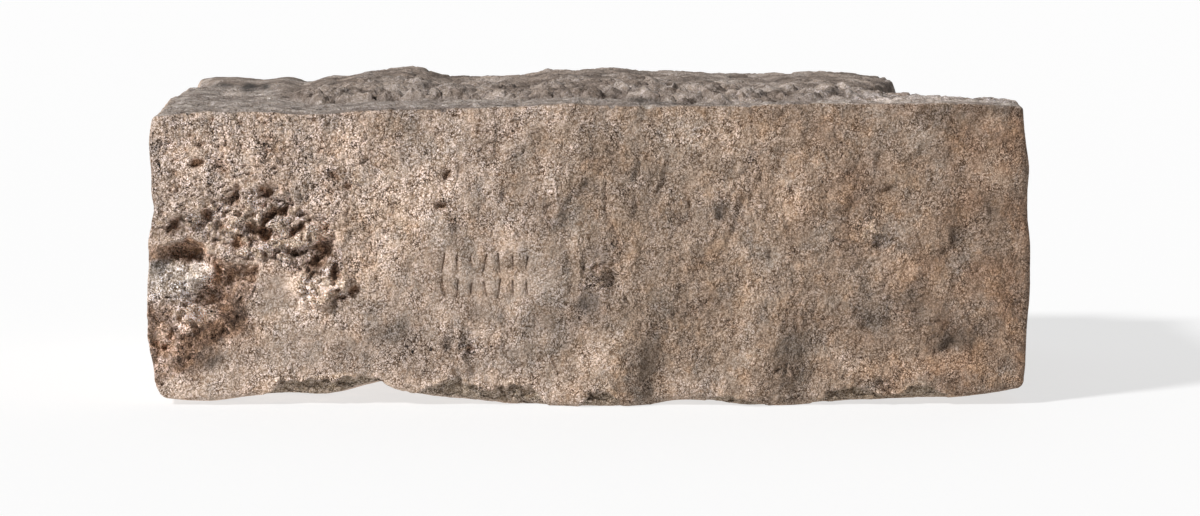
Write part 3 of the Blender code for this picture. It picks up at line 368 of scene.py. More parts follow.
def scatter(i, j, k, seed):
    """A fixed number from 0 to 1 for each whole-numbered cell, with no visible order."""
    mixed = (i * 374761393 + j * 668265263 + k * 1440662683 + seed * 1013904223) & 0xFFFFFFFF
    mixed = ((mixed ^ (mixed >> 13)) * 1274126177) & 0xFFFFFFFF
    return ((mixed ^ (mixed >> 16)) & 0xFFFFFF) / 0xFFFFFF


def cell(t):
    """The whole-numbered cell that each place is in."""
    return np.floor(t).astype(np.int64)


def waviness(x, y, z, size, seed):
    """Soft random waves from -1 to 1: cell corners get fixed values, blended by a soft step between.

    The net of cells is turned out of line with the block, so that its rows don't show.
    """
    x, y, z = 0.8 * x + 0.36 * y - 0.48 * z, 0.8 * y + 0.6 * z, 0.6 * x - 0.48 * y + 0.64 * z
    x, y, z = x / size, y / size, z / size
    i, j, k = cell(x), cell(y), cell(z)
    fx, fy, fz = smooth(x - i), smooth(y - j), smooth(z - k)
    total = np.zeros_like(fx)
    for di, dj, dk in np.ndindex(2, 2, 2):
        weight = (fx if di else 1 - fx) * (fy if dj else 1 - fy) * (fz if dk else 1 - fz)
        total += weight * scatter(i + di, j + dj, k + dk, seed)
    return 2.0 * total - 1.0


def ripple(a, b, size, seed):
    """The same waves over a flat net of places a and b."""
    return waviness(a, 0 * a, b, size, seed)


def level_waves(x, y, size, seed):
    """The same waves over the top, where x and y run level."""
    return waviness(x, y, 0 * x, size, seed)


def roughness(x, y, z, size, seed):
    """Waves of three sizes together, each half as long and half as high as the one before."""
    return (waviness(x, y, z, size, seed) + 0.5 * waviness(x, y, z, size / 2, seed + 1)
            + 0.25 * waviness(x, y, z, size / 4, seed + 2)) / 1.75


def lumps(x, y, z, size, seed):
    """Rounded lumps side by side, from 0 between them to 1 on top.

    Each cell of a cubic net holds one centre, moved at random. The height is 1 less the squared
    distance to the nearest centre, in cells.
    """
    x, y, z = x / size, y / size, z / size
    i, j, k = cell(x), cell(y), cell(z)
    nearest = np.full_like(x, 4.0)
    for di, dj, dk in np.ndindex(3, 3, 3):
        ci, cj, ck = i + di - 1, j + dj - 1, k + dk - 1
        far = (ci + scatter(ci, cj, ck, seed) - x) ** 2
        far = far + (cj + scatter(ci, cj, ck, seed + 1) - y) ** 2
        far = far + (ck + scatter(ci, cj, ck, seed + 2) - z) ** 2
        nearest = np.minimum(nearest, far)
    return np.clip(1.0 - nearest, 0.0, 1.0)


def pores(a, b, size, share, seed):
    """Round holes strewn over a flat net of cells, from 0 outside them to 1 in their middles.

    Each cell holds one hole at random, if its number is under share. A hole's radius is 0.16 to 0.42
    of a cell, and its wall is steep.
    """
    a, b = a / size, b / size
    i, j = cell(a), cell(b)
    deepest = np.zeros_like(a)
    for di, dj in np.ndindex(3, 3):
        ci, cj = i + di - 1, j + dj - 1
        far = np.hypot(ci + scatter(ci, cj, 1, seed) - a, cj + scatter(ci, cj, 2, seed) - b)
        radius = 0.16 + 0.26 * scatter(ci, cj, 3, seed)
        there = scatter(ci, cj, 4, seed) < share
        deepest = np.maximum(deepest, there * smooth(1.6 * (1.0 - far / radius)))
    return deepest


def crumbs(a, b, size, seed):
    """Uneven rounded crumbs with sharp creases between them, from about -0.5 to 1.

    It is the size of waves without their sign, so it folds wherever they pass through zero.
    """
    return 2.6 * np.abs(ripple(a, b, size, seed)) - 0.6


def chunks(a, b, size, seed):
    """A broken surface of angular chunks side by side: its height, about -1 to 1, and its seams, 0 to 1.

    Each cell of a flat net holds one centre, moved at random. A place belongs to the nearest centre,
    and takes that chunk's own height and slant. A seam is where two centres are almost equally near.
    """
    a = a + 0.22 * size * ripple(a, b, 0.6 * size, seed + 5)
    b = b + 0.22 * size * ripple(a, b, 0.6 * size, seed + 6)
    a, b = a / size, b / size
    i, j = cell(a), cell(b)
    nearest, second = np.full_like(a, 9.0), np.full_like(a, 9.0)
    height = np.zeros_like(a)
    for di, dj in np.ndindex(3, 3):
        ci, cj = i + di - 1, j + dj - 1
        off_a, off_b = a - ci - scatter(ci, cj, 1, seed), b - cj - scatter(ci, cj, 2, seed)
        far = np.hypot(off_a, off_b)
        own = 1.3 * (scatter(ci, cj, 3, seed) - 0.5) + 1.8 * off_a * (scatter(ci, cj, 4, seed) - 0.5)
        own = own + 1.8 * off_b * (scatter(ci, cj, 5, seed) - 0.5)
        closer = far < nearest
        second = np.where(closer, nearest, np.minimum(second, far))
        height = np.where(closer, own, height)
        nearest = np.minimum(nearest, far)
    return height, 1.0 - smooth((second - nearest) / 0.16)


def only_where(mask, worked_out):
    """An array that is worked out only at places where mask is over 0, and is 0 elsewhere."""
    result = np.zeros_like(mask)
    chosen = mask > 0.0
    result[chosen] = worked_out(chosen) * mask[chosen]
    return result


def from_photo(px, py):
    """The place on the front's plane that a pixel of the photograph shows."""
    return (px - PHOTO_MIDDLE) / PIXELS_PER_MM, (PHOTO_BASE - py) / PIXELS_PER_MM


def seen_at(x, y, z):
    """Where on the front's plane the camera sees a place that lies y behind it."""
    nearness = CAMERA_DISTANCE / (CAMERA_DISTANCE + y)
    return CAMERA_ASIDE + (x - CAMERA_ASIDE) * nearness, CAMERA_HEIGHT + (z - CAMERA_HEIGHT) * nearness


def line_distance(points, x, z):
    """Distance from each place on the front to the nearest part of a line through points."""
    nearest = np.full_like(x, np.inf)
    for (ax, az), (bx, bz) in zip(points, points[1:]):
        ex, ez = bx - ax, bz - az
        along = np.clip(((x - ax) * ex + (z - az) * ez) / (ex * ex + ez * ez), 0.0, 1.0)
        nearest = np.minimum(nearest, np.hypot(x - ax - along * ex, z - az - along * ez))
    return nearest


def depth_inside(outline, x, z):
    """How far each place is inside a closed outline on the front, and below zero outside."""
    corners = [((share - 0.5) * WIDTH, height * HEIGHT) for share, height in outline]
    inside = np.zeros_like(x, dtype=bool)
    for (ax, az), (bx, bz) in zip(corners, corners[1:] + corners[:1]):
        if bz != az:
            inside ^= ((az > z) != (bz > z)) & (x < ax + (z - az) * (bx - ax) / (bz - az))
    nearest = line_distance(corners + corners[:1], x, z)
    return np.where(inside, nearest, -nearest)


def bowl(x, z, place, radius, steep=1.35):
    """1 in the middle of a round spot on the front and 0 outside it, with a soft rim."""
    far = np.hypot(x - (place[0] - 0.5) * WIDTH, z - place[1] * HEIGHT)
    return smooth(steep * (1.0 - far / radius))


def fringe(a, b, size, seed):
    """Waves of two sizes over a flat net, which make an edge ragged."""
    return 0.5 * ripple(a, b, size, seed) + 0.3 * ripple(a, b, 0.4 * size, seed + 1)


def photo_patches(patches, x, z, ragged, rim=1.0):
    """Soft-edged oval patches placed by pixels of the photograph, added up, each with its own strength.

    The rim is how much of a patch's half width its edge takes up, and ragged makes the edge uneven.
    """
    total = np.zeros_like(x)
    for px, py, half_width, half_height, strength in patches:
        cx, cz = from_photo(px, py)
        far = np.hypot((x - cx) * PIXELS_PER_MM / half_width, (z - cz) * PIXELS_PER_MM / half_height)
        total = total + strength * smooth((1.0 - far) / rim + 0.3 + 0.45 * ragged)
    return total


def dents(x, z):
    """Depth of the oval dents of the front, soft at their rims; the deepest counts where they meet."""
    deepest = np.zeros_like(x)
    for px, py, half_long, half_wide, lean, depth in DENTS:
        cx, cz = from_photo(px, py)
        sine, cosine = np.sin(np.radians(lean)), np.cos(np.radians(lean))
        along = (x - cx) * sine + (z - cz) * cosine
        aside = (x - cx) * cosine - (z - cz) * sine
        far = np.hypot(along / half_long, aside / half_wide)
        deepest = np.maximum(deepest, depth * smooth(1.25 * (1.15 - far)))
    return deepest


def ridges(x, z):
    """Height of the thin ridges of the front: a soft hump across each line."""
    highest = np.zeros_like(x)
    for line, half_width, height in RIDGES:
        far = line_distance([from_photo(px, py) for px, py in line], x, z)
        highest = np.maximum(highest, height * smooth(1.0 - far / half_width))
    return highest


def folds(share, height):
    """The soft folds of the casting: each rises slowly to its crest and falls faster on its right."""
    total = np.zeros_like(share)
    x, z = share * WIDTH, height * HEIGHT
    share = share + 0.014 * ripple(x, z, 40.0, 12)
    height = height + 0.06 * ripple(x, z, 50.0, 13)
    for crest, rise, fall, low, high, lean, tall in FOLDS:
        middle = crest + lean * height
        ridge = smooth((share - middle + rise) / rise) * (1.0 - smooth((share - middle) / fall))
        window = smooth((height - low) / 0.14) * smooth((high - height) / 0.14)
        total += tall * ridge * window
    return total


def sign_calm(x, z):
    """1 on the even patch that holds the strokes, and 0 away from it."""
    aside = np.abs(x - (SIGN_PLACE[0] - 0.5) * WIDTH) - SIGN_HALF_LONG
    above = np.abs(z - SIGN_PLACE[1] * HEIGHT) - SIGN_HALF_TALL
    return 1.0 - smooth(np.maximum(aside, above) / SIGN_MARGIN)


def strokes(x, z):
    """Depth of the scratched strokes: a wedge-shaped groove along each, shallower at its lower end."""
    deepest = np.zeros_like(x)
    for row in range(STROKE_ROWS):
        for place in range(STROKES_IN_ROW):
            number = row * STROKES_IN_ROW + place
            lean = 0.20 * np.sin(2.3 * number + 0.8)
            length = STROKE_LENGTH * (0.78 + 0.22 * np.cos(1.7 * number))
            cx = (SIGN_PLACE[0] - 0.5) * WIDTH + (place - (STROKES_IN_ROW - 1) / 2) * STROKE_PITCH
            cz = SIGN_PLACE[1] * HEIGHT + ((STROKE_ROWS - 1) / 2 - row) * ROW_PITCH
            dx, dz = 0.5 * length * np.sin(lean), 0.5 * length * np.cos(lean)
            far = line_distance([(cx - dx, cz - dz), (cx + dx, cz + dz)], x, z)
            fade = 0.65 + 0.35 * smooth((z - cz + dz) / length)
            deepest = np.maximum(deepest, fade * np.clip(1.0 - far / (0.6 * STROKE_WIDTH), 0.0, 1.0))
    return STROKE_DEPTH * 1.25 * deepest


def cracks(x, z):
    """Depth of the listed cracks, and of hair cracks where tall, thin waves pass through zero."""
    wander = 0.9 * ripple(x, z, 4.0, 81) + 0.4 * ripple(x, z, 1.6, 85)
    patchy = 0.35 + 0.65 * smooth(0.5 + 1.4 * ripple(x, z, 5.0, 86))
    deepest = np.zeros_like(x)
    for line in CRACKS:
        points = [from_photo(px, py) for px, py in line]
        far = line_distance(points, x + wander, z + 0.5 * wander)
        groove = np.clip(1.0 - far / CRACK_HALF_WIDTH, 0.0, 1.0)
        deepest = np.maximum(deepest, CRACK_DEPTH * patchy * groove)
    tall = ripple(2.2 * x, z, 17.0, 82) + 0.25 * ripple(x, z, 5.0, 83)
    here = smooth((ripple(x, z, 26.0, 84) - 0.05) / 0.25)
    hair = here * np.clip(1.0 - np.abs(tall) / 0.035, 0.0, 1.0)
    return np.maximum(deepest, HAIR_CRACK_DEPTH * hair)


def flakes(x, z):
    """Height of thin flakes that still cling to the front: terraces where slow waves pass set levels."""
    slow = ripple(1.5 * x, z, 22.0, 91) + 0.45 * ripple(x, z, 7.0, 92)
    slow = slow + 0.15 * ripple(x, z, 2.6, 93)
    return sum(FLAKE_HEIGHT * smooth((slow - level) / 0.05) for level in FLAKE_LEVELS)


def crags(x, z):
    """Depth of the crumbling surface of the rough parts: broken lumps, sharp-rimmed gaps and crumbs."""
    bent_x = x + 2.2 * ripple(x, z, 7.5, 125) + 0.9 * ripple(x, z, 2.4, 126)
    bent_z = z + 2.2 * ripple(x, z, 7.5, 127) + 0.9 * ripple(x, z, 2.4, 128)
    large, seam = chunks(bent_x, bent_z, NODULE_SIZE, 121)
    splinter, thin_seam = chunks(bent_z, bent_x, SPLINTER_SIZE, 135)
    hollows = crumbs(bent_x, bent_z, 8.0, 131)
    small = crumbs(bent_x, bent_z, 2.6, 141)
    fine = ripple(x, z, 1.5, 145)
    gap = ripple(bent_x, bent_z, 8.0, 151) + 0.5 * ripple(x, z, 2.8, 152)
    depth = 0.7 * seam + 0.3 * thin_seam - NODULE_HEIGHT * 0.46 * large - 1.0 * splinter
    return depth + 1.1 * hollows - 1.1 * small + 0.9 * fine + 2.2 * step(gap, 0.3, 0.25)


def front_relief(x, z):
    """How far the front lies behind its own plane at each place on it, and the masks of its finishes."""
    share, height = x / WIDTH + 0.5, z / HEIGHT
    calm = sign_calm(x, z)
    ragged = 1.6 * ripple(x, z, 9.0, 11)
    frayed = ragged + 1.0 * ripple(x, z, 3.2, 14)
    recess = depth_inside(RECESS, x, z) + frayed
    island_depth = depth_inside(LEAD_ISLAND, x, z) + frayed
    island = step(island_depth, -4.0, 12.0)
    band = smooth((depth_inside(ROUGH_BAND, x, z) + 1.6 * frayed) / 4.0)
    uneven = fringe(x, z, 7.0, 71)
    patches = np.clip(photo_patches(ROUGH_PATCHES, x, z, uneven), 0.0, 1.0)
    even = np.clip(photo_patches(EVEN_PATCHES, x, z, uneven), 0.0, 1.0)

    below_right = step(height, 0.32, -0.10)
    wide_wall = np.maximum(below_right, step(share, 0.055, 0.03) + step(share, 0.034, -0.02))
    in_recess = smooth(recess / 3.0)
    hollow = RECESS_DEPTH * smooth(recess / (6.5 + 9.0 * wide_wall)) - LEAD_ISLAND_RISE * island

    bare = step(island_depth, 1.0, 3.0) * step(height, 0.30, 0.10)
    rough = np.maximum(band, in_recess * (1.0 - 0.35 * bare))
    grainy = np.clip(rough + 0.6 * patches, 0.0, 1.0)
    plain = 1.0 - grainy
    craggy = only_where(grainy, lambda c: crags(x[c], z[c])) * (1.0 - 0.3 * in_recess)

    upper_left = step(share, 0.30, -0.12) * (1.0 - in_recess) * step(height, 0.42, 0.1)
    bend_x = x + 2.0 * ripple(x, z, 5.0, 22) + 0.9 * ripple(x, z, 1.9, 24)
    bend_z = z + 2.0 * ripple(x, z, 5.0, 23) + 0.9 * ripple(x, z, 1.9, 25)
    specks = pores(bend_x, bend_z, 3.6, 0.12 + 0.30 * upper_left, 27) * (0.4 + 0.7 * upper_left)
    pocked, pock_seam = chunks(x, z, 3.0, 151)
    pocked = (0.6 * pock_seam - 0.6 * pocked) * (0.3 + 0.7 * upper_left) * plain
    lumpy, lump_seam = chunks(-x, z, 6.0, 191)
    pocked = pocked + (0.4 * lump_seam - 0.4 * lumpy) * (0.45 + 0.55 * upper_left) * plain

    deep = np.zeros_like(x)
    for across, up, radius, depth in PITS:
        deep = deep + 0.8 * depth * bowl(bend_x, bend_z, (across, up), radius, 1.5)
    forms = photo_patches(FORMS, bend_x, bend_z, uneven, 0.45)
    raised = ridges(x + 0.5 * (bend_x - x), z) + forms
    for across, up, radius, tall in LUMPS:
        raised = raised + tall * bowl(x, z, (across, up), radius)
    dented = dents(0.2 * x + 0.8 * bend_x + 1.2 * (frayed - ragged),
                   0.2 * z + 0.8 * bend_z + 0.4 * ragged)
    torn = 1.6 * ripple(x, z, 5.0, 15) + 1.2 * ripple(x, z, 2.2, 16)
    above_lip = z - curve(LIP, share) * HEIGHT + torn
    broken = smooth(-above_lip / 1.0)
    splinter, splinter_seam = chunks(0.6 * x, z, LIP_SPLINTER_SIZE, 17)
    snapped = broken * (LIP_DEPTH - 1.3 * splinter + 0.8 * splinter_seam)

    shell, shell_seam = chunks(1.5 * x, z, SHELL_SIZE, 161)
    scattered = smooth((ripple(x, z, 24.0, 84) + 0.1) / 0.3)
    scaly = (0.45 * shell_seam * scattered - 0.30 * shell) * plain
    scratched = cracks(x, z) * (1.0 - 0.5 * grainy)
    centre = step(share, 0.30, 0.15) * step(share, 0.86, -0.12)
    drape = 0.75 * ripple(1.6 * x, 0.45 * z, 12.0, 35) * centre
    waves = drape + 0.40 * ripple(x, z, 18.0, 32) + 0.42 * ripple(-1.5 * x, z, 7.5, 33)
    waves = waves + 0.34 * ripple(-x, z, 3.4, 34) + 0.16 * ripple(x, -z, 1.7, 36)
    ends = step(share, 0.955, 0.045) + 0.6 * step(share, 0.03, -0.03)
    form = hollow + BAND_DEPTH * band - folds(share, height) - raised + 2.4 * ends
    form = form + SWELL_HEIGHT * ripple(x, z, SWELL_SIZE, 31)
    cut = craggy + (specks + pocked) * (1.0 - 0.7 * even) + deep + dented + snapped + scaly + scratched
    relief = (form + cut) * (1.0 - calm) + waves * (1.0 - 0.6 * calm) * (1.0 - 0.5 * even)
    clinging = flakes(x, z) * plain * (1.0 - 0.8 * calm) * (1.0 - 0.6 * even)
    relief = relief - clinging + strokes(x, z)

    # A lighter rim along the top of the broken lip, a painted highlight on its edge
    rim = smooth(1.0 - np.abs(above_lip - 1.0) / 1.0) * (curve(LIP, share) > 0.02)
    rim = rim * smooth(0.5 + 1.5 * ripple(x, z, 5.0, 18))
    # Browner along the lower part of the recess and the slope just outside it
    brown_slope = step(recess, -9.0, 9.0) * below_right * step(share, 0.03, 0.03)
    # Painted shade in dents, deep pits, strokes, cracks and deep crags, and painted light on the lip's
    # rim
    shade = 0.8 * photo_patches(TONES, x, z, uneven) + 0.10 * dented - 0.4 * rim
    shade = shade + 0.5 * step(deep, 2.2, 1.8)
    shade = shade + 0.20 * ripple(1.7 * x, z, 10.0, 37) + 0.14 * ripple(x, -z, 4.5, 38)
    shade = shade + 0.8 * strokes(x, z) + 0.3 * scratched * plain
    shade = shade + 0.4 * step(craggy, 1.6, 1.5)
    earth = smooth(deep / 2.5) + 0.8 * step(craggy, 0.7, 2.0) + 0.4 * scratched
    earth = earth + 0.5 * strokes(x, z) + 0.5 * specks
    earth = earth + 0.75 * in_recess * (1.0 - bare) * (1.0 - 0.6 * smooth(forms)) + 0.55 * brown_slope
    # Painted highlight on the high crags, the large forms and the lip's rim, partly paler crust there
    painted_highlight = smooth((-craggy - 0.2) / 2.0) * (1.0 - 0.6 * in_recess) + 0.7 * rim
    painted_highlight = painted_highlight + 0.35 * step(forms, 1.2, 1.5) * rough
    grit = 0.88 - 0.12 * step(share, 0.15, 0.75) + 0.3 * upper_left + grainy - 0.2 * calm - 0.5 * even
    masks = {
        "earth": earth,
        "bare_lead": bare * smooth(recess / 2.0),
        "raised": painted_highlight,
        "stain": np.clip(photo_patches(STAINS, x, z, uneven), 0.0, 1.0) * plain,
        "broken": broken,
        "crumbly": np.clip(grainy * (1.0 - 0.8 * even) + 0.35 * broken, 0.0, 1.0),
        "shade": np.clip(0.5 + 0.5 * shade, 0.0, 1.0),
        "grit": np.clip(grit, 0.15, 1.0),
    }
    return relief, masks


def top_height(share, back):
    """Height of the top over the underside, from the front edge (back 0) to the far one, and masks."""
    x, y = share * WIDTH, back * DEPTH
    cast = curve(TOP_EDGE, share) * HEIGHT + 0.4 * level_waves(x, y, 30.0, 41)
    ragged = 0.030 * level_waves(x, y, 22.0, 42)
    at_left = 1.0 - step(share, 0.125, 0.03)
    torn = ragged * (1.0 - 0.5 * at_left) + 0.020 * (1.0 - at_left) * level_waves(x, y, 6.0, 46)
    on_crust = smooth((back - curve(STRIP, share) + torn) / (0.025 + 0.04 * at_left))
    left_swell = 2.5 * step(share, 0.07, -0.05)
    cast = cast + left_swell * step(back, 0.08, 0.2) * step(back, 0.8, -0.15)
    crest = curve(CREST, share) * HEIGHT - 0.3
    far = smooth((back - curve(STRIP, share)) / curve(CRUST_RISE, share))
    middle = np.minimum(cast + 2.2, crest - 1.0)
    humps = CRUST_ROUGHNESS * (lumps(x, y, 0 * x, CRUST_GRAIN, 43) - 0.5)
    large, seam = chunks(x, y, 13.0, 171)
    small, thin_seam = chunks(x, y, 6.0, 181)
    broken_up = 1.8 * large - 1.6 * seam + 1.2 * small - 0.8 * thin_seam + 0.9 * crumbs(x, y, 5.0, 185)
    bumps = (humps + broken_up) * (1.0 - 0.72 * far) * (1.0 - 0.6 * at_left)
    crust = middle * (1.0 - far) + crest * far + bumps
    wrinkle = level_waves(x, 2.4 * y, 16.0, 50) + 0.6 * level_waves(x, 2.8 * y, 8.0, 55)
    wrinkle = 1.2 * (0.7 - 2.0 * np.abs(wrinkle)) + 0.6 * level_waves(x, 1.5 * y, 4.0, 57)
    chips = 1.3 * pores(x, y, 6.0, 0.35, 58) * step(y, 6.0, -4.0)
    cast_strip = cast + wrinkle * (0.25 + 0.75 * smooth(y / 5.0)) - chips
    height = cast_strip * (1.0 - on_crust) + crust * on_crust

    edge = 0.014 * level_waves(x, y, 30.0, 44)
    bite = 0.055 * smooth(0.5 + level_waves(0 * x, y, 45.0, 47))
    bite = bite + 0.012 * level_waves(0 * x, y, 12.0, 48)
    bite = bite * step(back, 0.22, 0.15) * step(back, 1.0, -0.12)
    broken = smooth((share - CORNER_START + 0.6 * edge + bite) / 0.018)
    broken = broken * smooth((back - CORNER_FRONT + edge) / 0.06)
    stump = 4.5 * (0.5 - lumps(x, y, 0 * x, 18.0, 45)) - 0.5 * broken_up
    height = height - broken * (CORNER_DROP * (0.45 + 0.55 * step(back, 0.15, 0.7)) + stump)
    rim = step(share, 0.78, 0.05) * step(back, 0.05, 0.04) * step(back, 0.22, -0.05)
    knobs = lumps(x, y, 0 * x, 7.0, 56) - 0.5
    height = height * (1.0 - rim) + rim * (cast + 1.0 + 1.4 * knobs + 0.25 * broken_up - 5.0 * broken)
    # Painted shade, with some earth, in the crust's seams and hollows and in the strip's wrinkle troughs
    cavity = smooth((1.6 * seam + 0.9 * thin_seam - 0.9 * large - 0.3 * humps) / 2.2)
    folded = smooth((-wrinkle - 0.4) / 1.2) * (1.0 - on_crust)
    tones = photo_patches(TOP_TONES, *seen_at(x - WIDTH / 2, y, height), fringe(x, y, 12.0, 73))
    # Painted highlight on the crust's high lumps and on the crests of the strip's wrinkles
    painted_highlight = smooth(large) * on_crust + 0.7 * step(wrinkle, 0.3, 0.6) * (1.0 - on_crust)
    masks = {
        "crust": np.maximum(on_crust, broken),
        "earth": 0.9 * cavity * on_crust + 0.6 * folded,
        "crumbly": 0.45 * on_crust * (1.0 - 0.6 * far) + 0.6 * rim,
        # with painted highlights on the knobs of the rim
        "raised": painted_highlight + rim * smooth(0.3 + knobs / 0.3),
        "shade": 0.5 + 0.55 * tones,
    }
    return height, masks


def bottom_height(share, back):
    """Height of the underside: it lifts along the front edge, and is flat everywhere else."""
    lift = curve(BOTTOM_EDGE, share) * HEIGHT
    return np.maximum(lift - UNDERSIDE_SLOPE * back * DEPTH, 0.0)


def end_inset(points, back, height, seed):
    """How far an end lies inside the full width: its front outline, plainer further back."""
    y, z = back * DEPTH, height * HEIGHT
    kept = 1.0 - 0.55 * step(back, 0.3, 0.7)
    waves = END_WAVE * roughness(0 * back, y, z, END_WAVE_SIZE, seed)
    skin = 0.4 * roughness(0 * back, y, z, 10.0, seed + 7) + 0.8 * pores(y, z, 8.0, 0.25, seed + 9)
    uneven = np.maximum(waves + 0.4 + skin, 0.0) * step(back, 0.03, 0.2)
    return curve(points, height) * WIDTH * kept + uneven


def rounded(a, b, length_a, length_b, radius):
    """Pulls places that lie outside a rectangle's rounded corners straight back onto the arcs."""
    middle_a = np.clip(a, radius, length_a - radius)
    middle_b = np.clip(b, radius, length_b - radius)
    off_a, off_b = a - middle_a, b - middle_b
    far = np.hypot(off_a, off_b)
    pull = np.where(far > radius, radius / np.maximum(far, 1e-9), 1.0)
    return middle_a + off_a * pull, middle_b + off_b * pull


def worn_edges(x, y, z):
    """Rounds the twelve edges of the plain block, each with its own radius, more in some places."""
    wear = 1.0 + WEAR_SHARE * waviness(x, y, z, WEAR_SIZE, 51)
    upright = np.where(y < DEPTH / 2, UPRIGHT_FRONT_RADIUS, UPRIGHT_BACK_RADIUS) * wear
    x, y = rounded(x, y, WIDTH, DEPTH, upright)
    top = np.where(y < DEPTH / 2, TOP_FRONT_RADIUS, TOP_BACK_RADIUS)
    long_edges = np.where(z > HEIGHT / 2, top, BOTTOM_RADIUS) * wear
    y, z = rounded(y, z, DEPTH, HEIGHT, long_edges)
    short_edges = np.where(z > HEIGHT / 2, TOP_END_RADIUS, BOTTOM_RADIUS) * wear
    x, z = rounded(x, z, WIDTH, HEIGHT, short_edges)
    return x, y, z


def block_surface(x, y, z):
    """Moves places of the plain block, measured from its lower front left corner, to the cast form.

    Each of the six sides has its own height over the plain box. A place takes its share of the two
    sides that face each other, so the lattice keeps whole along the edges. Masks come along.
    """
    x, y, z = worn_edges(x, y, z)
    across, back, up = x / WIDTH, y / DEPTH, z / HEIGHT
    left = end_inset(LEFT_END, back, up, 61)
    right = WIDTH - end_inset(RIGHT_END, back, up, 62)
    x = left * (1.0 - across) + right * across - WIDTH / 2
    top, top_masks = top_height(across, back)
    z = bottom_height(across, back) * (1.0 - up) + top * up
    skin = 0.6 * roughness(x, 0 * x, z, 14.0, 64) + 0.8 * pores(x, z, 10.0, 0.25, 65)
    behind = DEPTH - BACK_WAVE * (1.0 + roughness(x, 0 * x, z, BACK_WAVE_SIZE, 63)) - skin
    near = 1.0 - smooth(back / 0.35)
    chosen = near > 0.0
    relief, found = front_relief(x[chosen], z[chosen])
    sunk = np.zeros_like(x)
    sunk[chosen] = relief * near[chosen]
    y = sunk + behind * back - DEPTH / 2

    on_front = 1.0 - step(back, 0.002, 0.02)
    on_top = step(up, 0.996, 0.004)
    masks = {"top": on_top, "crust": top_masks["crust"] * on_top}
    for name, values in found.items():
        whole = np.zeros_like(x)
        whole[chosen] = values * on_front[chosen] * (1.0 - on_top[chosen])
        masks[name] = whole
    elsewhere = (1.0 - on_front) * (1.0 - on_top)
    stained = fringe(x + y, z, 26.0, 75) + 0.4 * fringe(x - y, z, 7.0, 77)
    masks["shade"] = masks["shade"] + (0.5 + 0.22 * stained) * elsewhere
    masks["earth"] = masks["earth"] + 0.5 * step(stained, 0.25, 0.5) * elsewhere
    for name in ("earth", "raised", "shade", "crumbly"):
        masks[name] = np.clip(masks[name] + top_masks[name] * on_top, 0.0, 1.0)
    masks["grit"] = masks["grit"] + (0.5 - 0.2 * on_top) * (1.0 - on_front * (1.0 - on_top))
    return np.stack([x, y, z], axis=1), masks


def graded(length, gaps):
    """Places from 0 to length whose gaps follow (place, gap) pairs, straight between the pairs."""
    at, gap = np.array(gaps).T
    fine = np.linspace(0.0, length, 6001)
    density = 1.0 / np.interp(fine, at, gap)
    count = np.concatenate([[0.0], np.cumsum((density[1:] + density[:-1]) / 2 * np.diff(fine))])
    cells = int(np.ceil(count[-1]))
    return np.interp(np.linspace(0.0, count[-1], cells + 1), count, fine)


def lattice(steps):
    """Whole-numbered places all over a box of steps cells, each once, and its faces, pointing out."""
    places, faces, count = [], [], 0
    for axis in range(3):
        first, second = (axis + 1) % 3, (axis + 2) % 3
        a, b = np.meshgrid(np.arange(steps[first] + 1), np.arange(steps[second] + 1), indexing="ij")
        corner = np.arange(steps[first])[:, None] * (steps[second] + 1) + np.arange(steps[second])
        corner = corner.ravel()
        right, above = corner + steps[second] + 1, corner + 1
        for level in (0, steps[axis]):
            side = np.zeros((a.size, 3), dtype=np.int64)
            side[:, axis], side[:, first], side[:, second] = level, a.ravel(), b.ravel()
            loop = (corner, right, right + 1, above) if level else (corner, above, right + 1, right)
            places.append(side)
            faces.append(np.stack(loop, axis=1) + count)
            count += a.size
    merged, index = np.unique(np.concatenate(places), axis=0, return_inverse=True)
    return merged, index.ravel()[np.concatenate(faces)]


def mesh_from(name, points, faces, masks):
    """A mesh of four-cornered faces, with each mask as a number on its points."""
    mesh = bpy.data.meshes.new(name)
    mesh.vertices.add(len(points))
    mesh.vertices.foreach_set("co", points.astype(np.float32).ravel())
    mesh.loops.add(faces.size)
    mesh.loops.foreach_set("vertex_index", faces.astype(np.int32).ravel())
    mesh.polygons.add(len(faces))
    mesh.polygons.foreach_set("loop_start", np.arange(0, faces.size, 4, dtype=np.int32))
    mesh.update(calc_edges=True)
    for mask, values in masks.items():
        layer = mesh.attributes.new(mask, "FLOAT", "POINT")
        layer.data.foreach_set("value", values.astype(np.float32))
    return mesh


def closer_at_sign(length, middle, half, last_gap):
    """Places from 0 to length, closer together across the strokes: within half of middle."""
    near, far = middle - half, middle + half
    return graded(length, [(0, FINE_GAP), (near - GAP_RAMP, FINE_GAP), (near, SIGN_GAP), (far, SIGN_GAP),
                           (far + GAP_RAMP, FINE_GAP), (length, last_gap)])


def put(name, data):
    """A new object in the scene that shows data."""
    made = bpy.data.objects.new(name, data)
    bpy.context.scene.collection.objects.link(made)
    return made


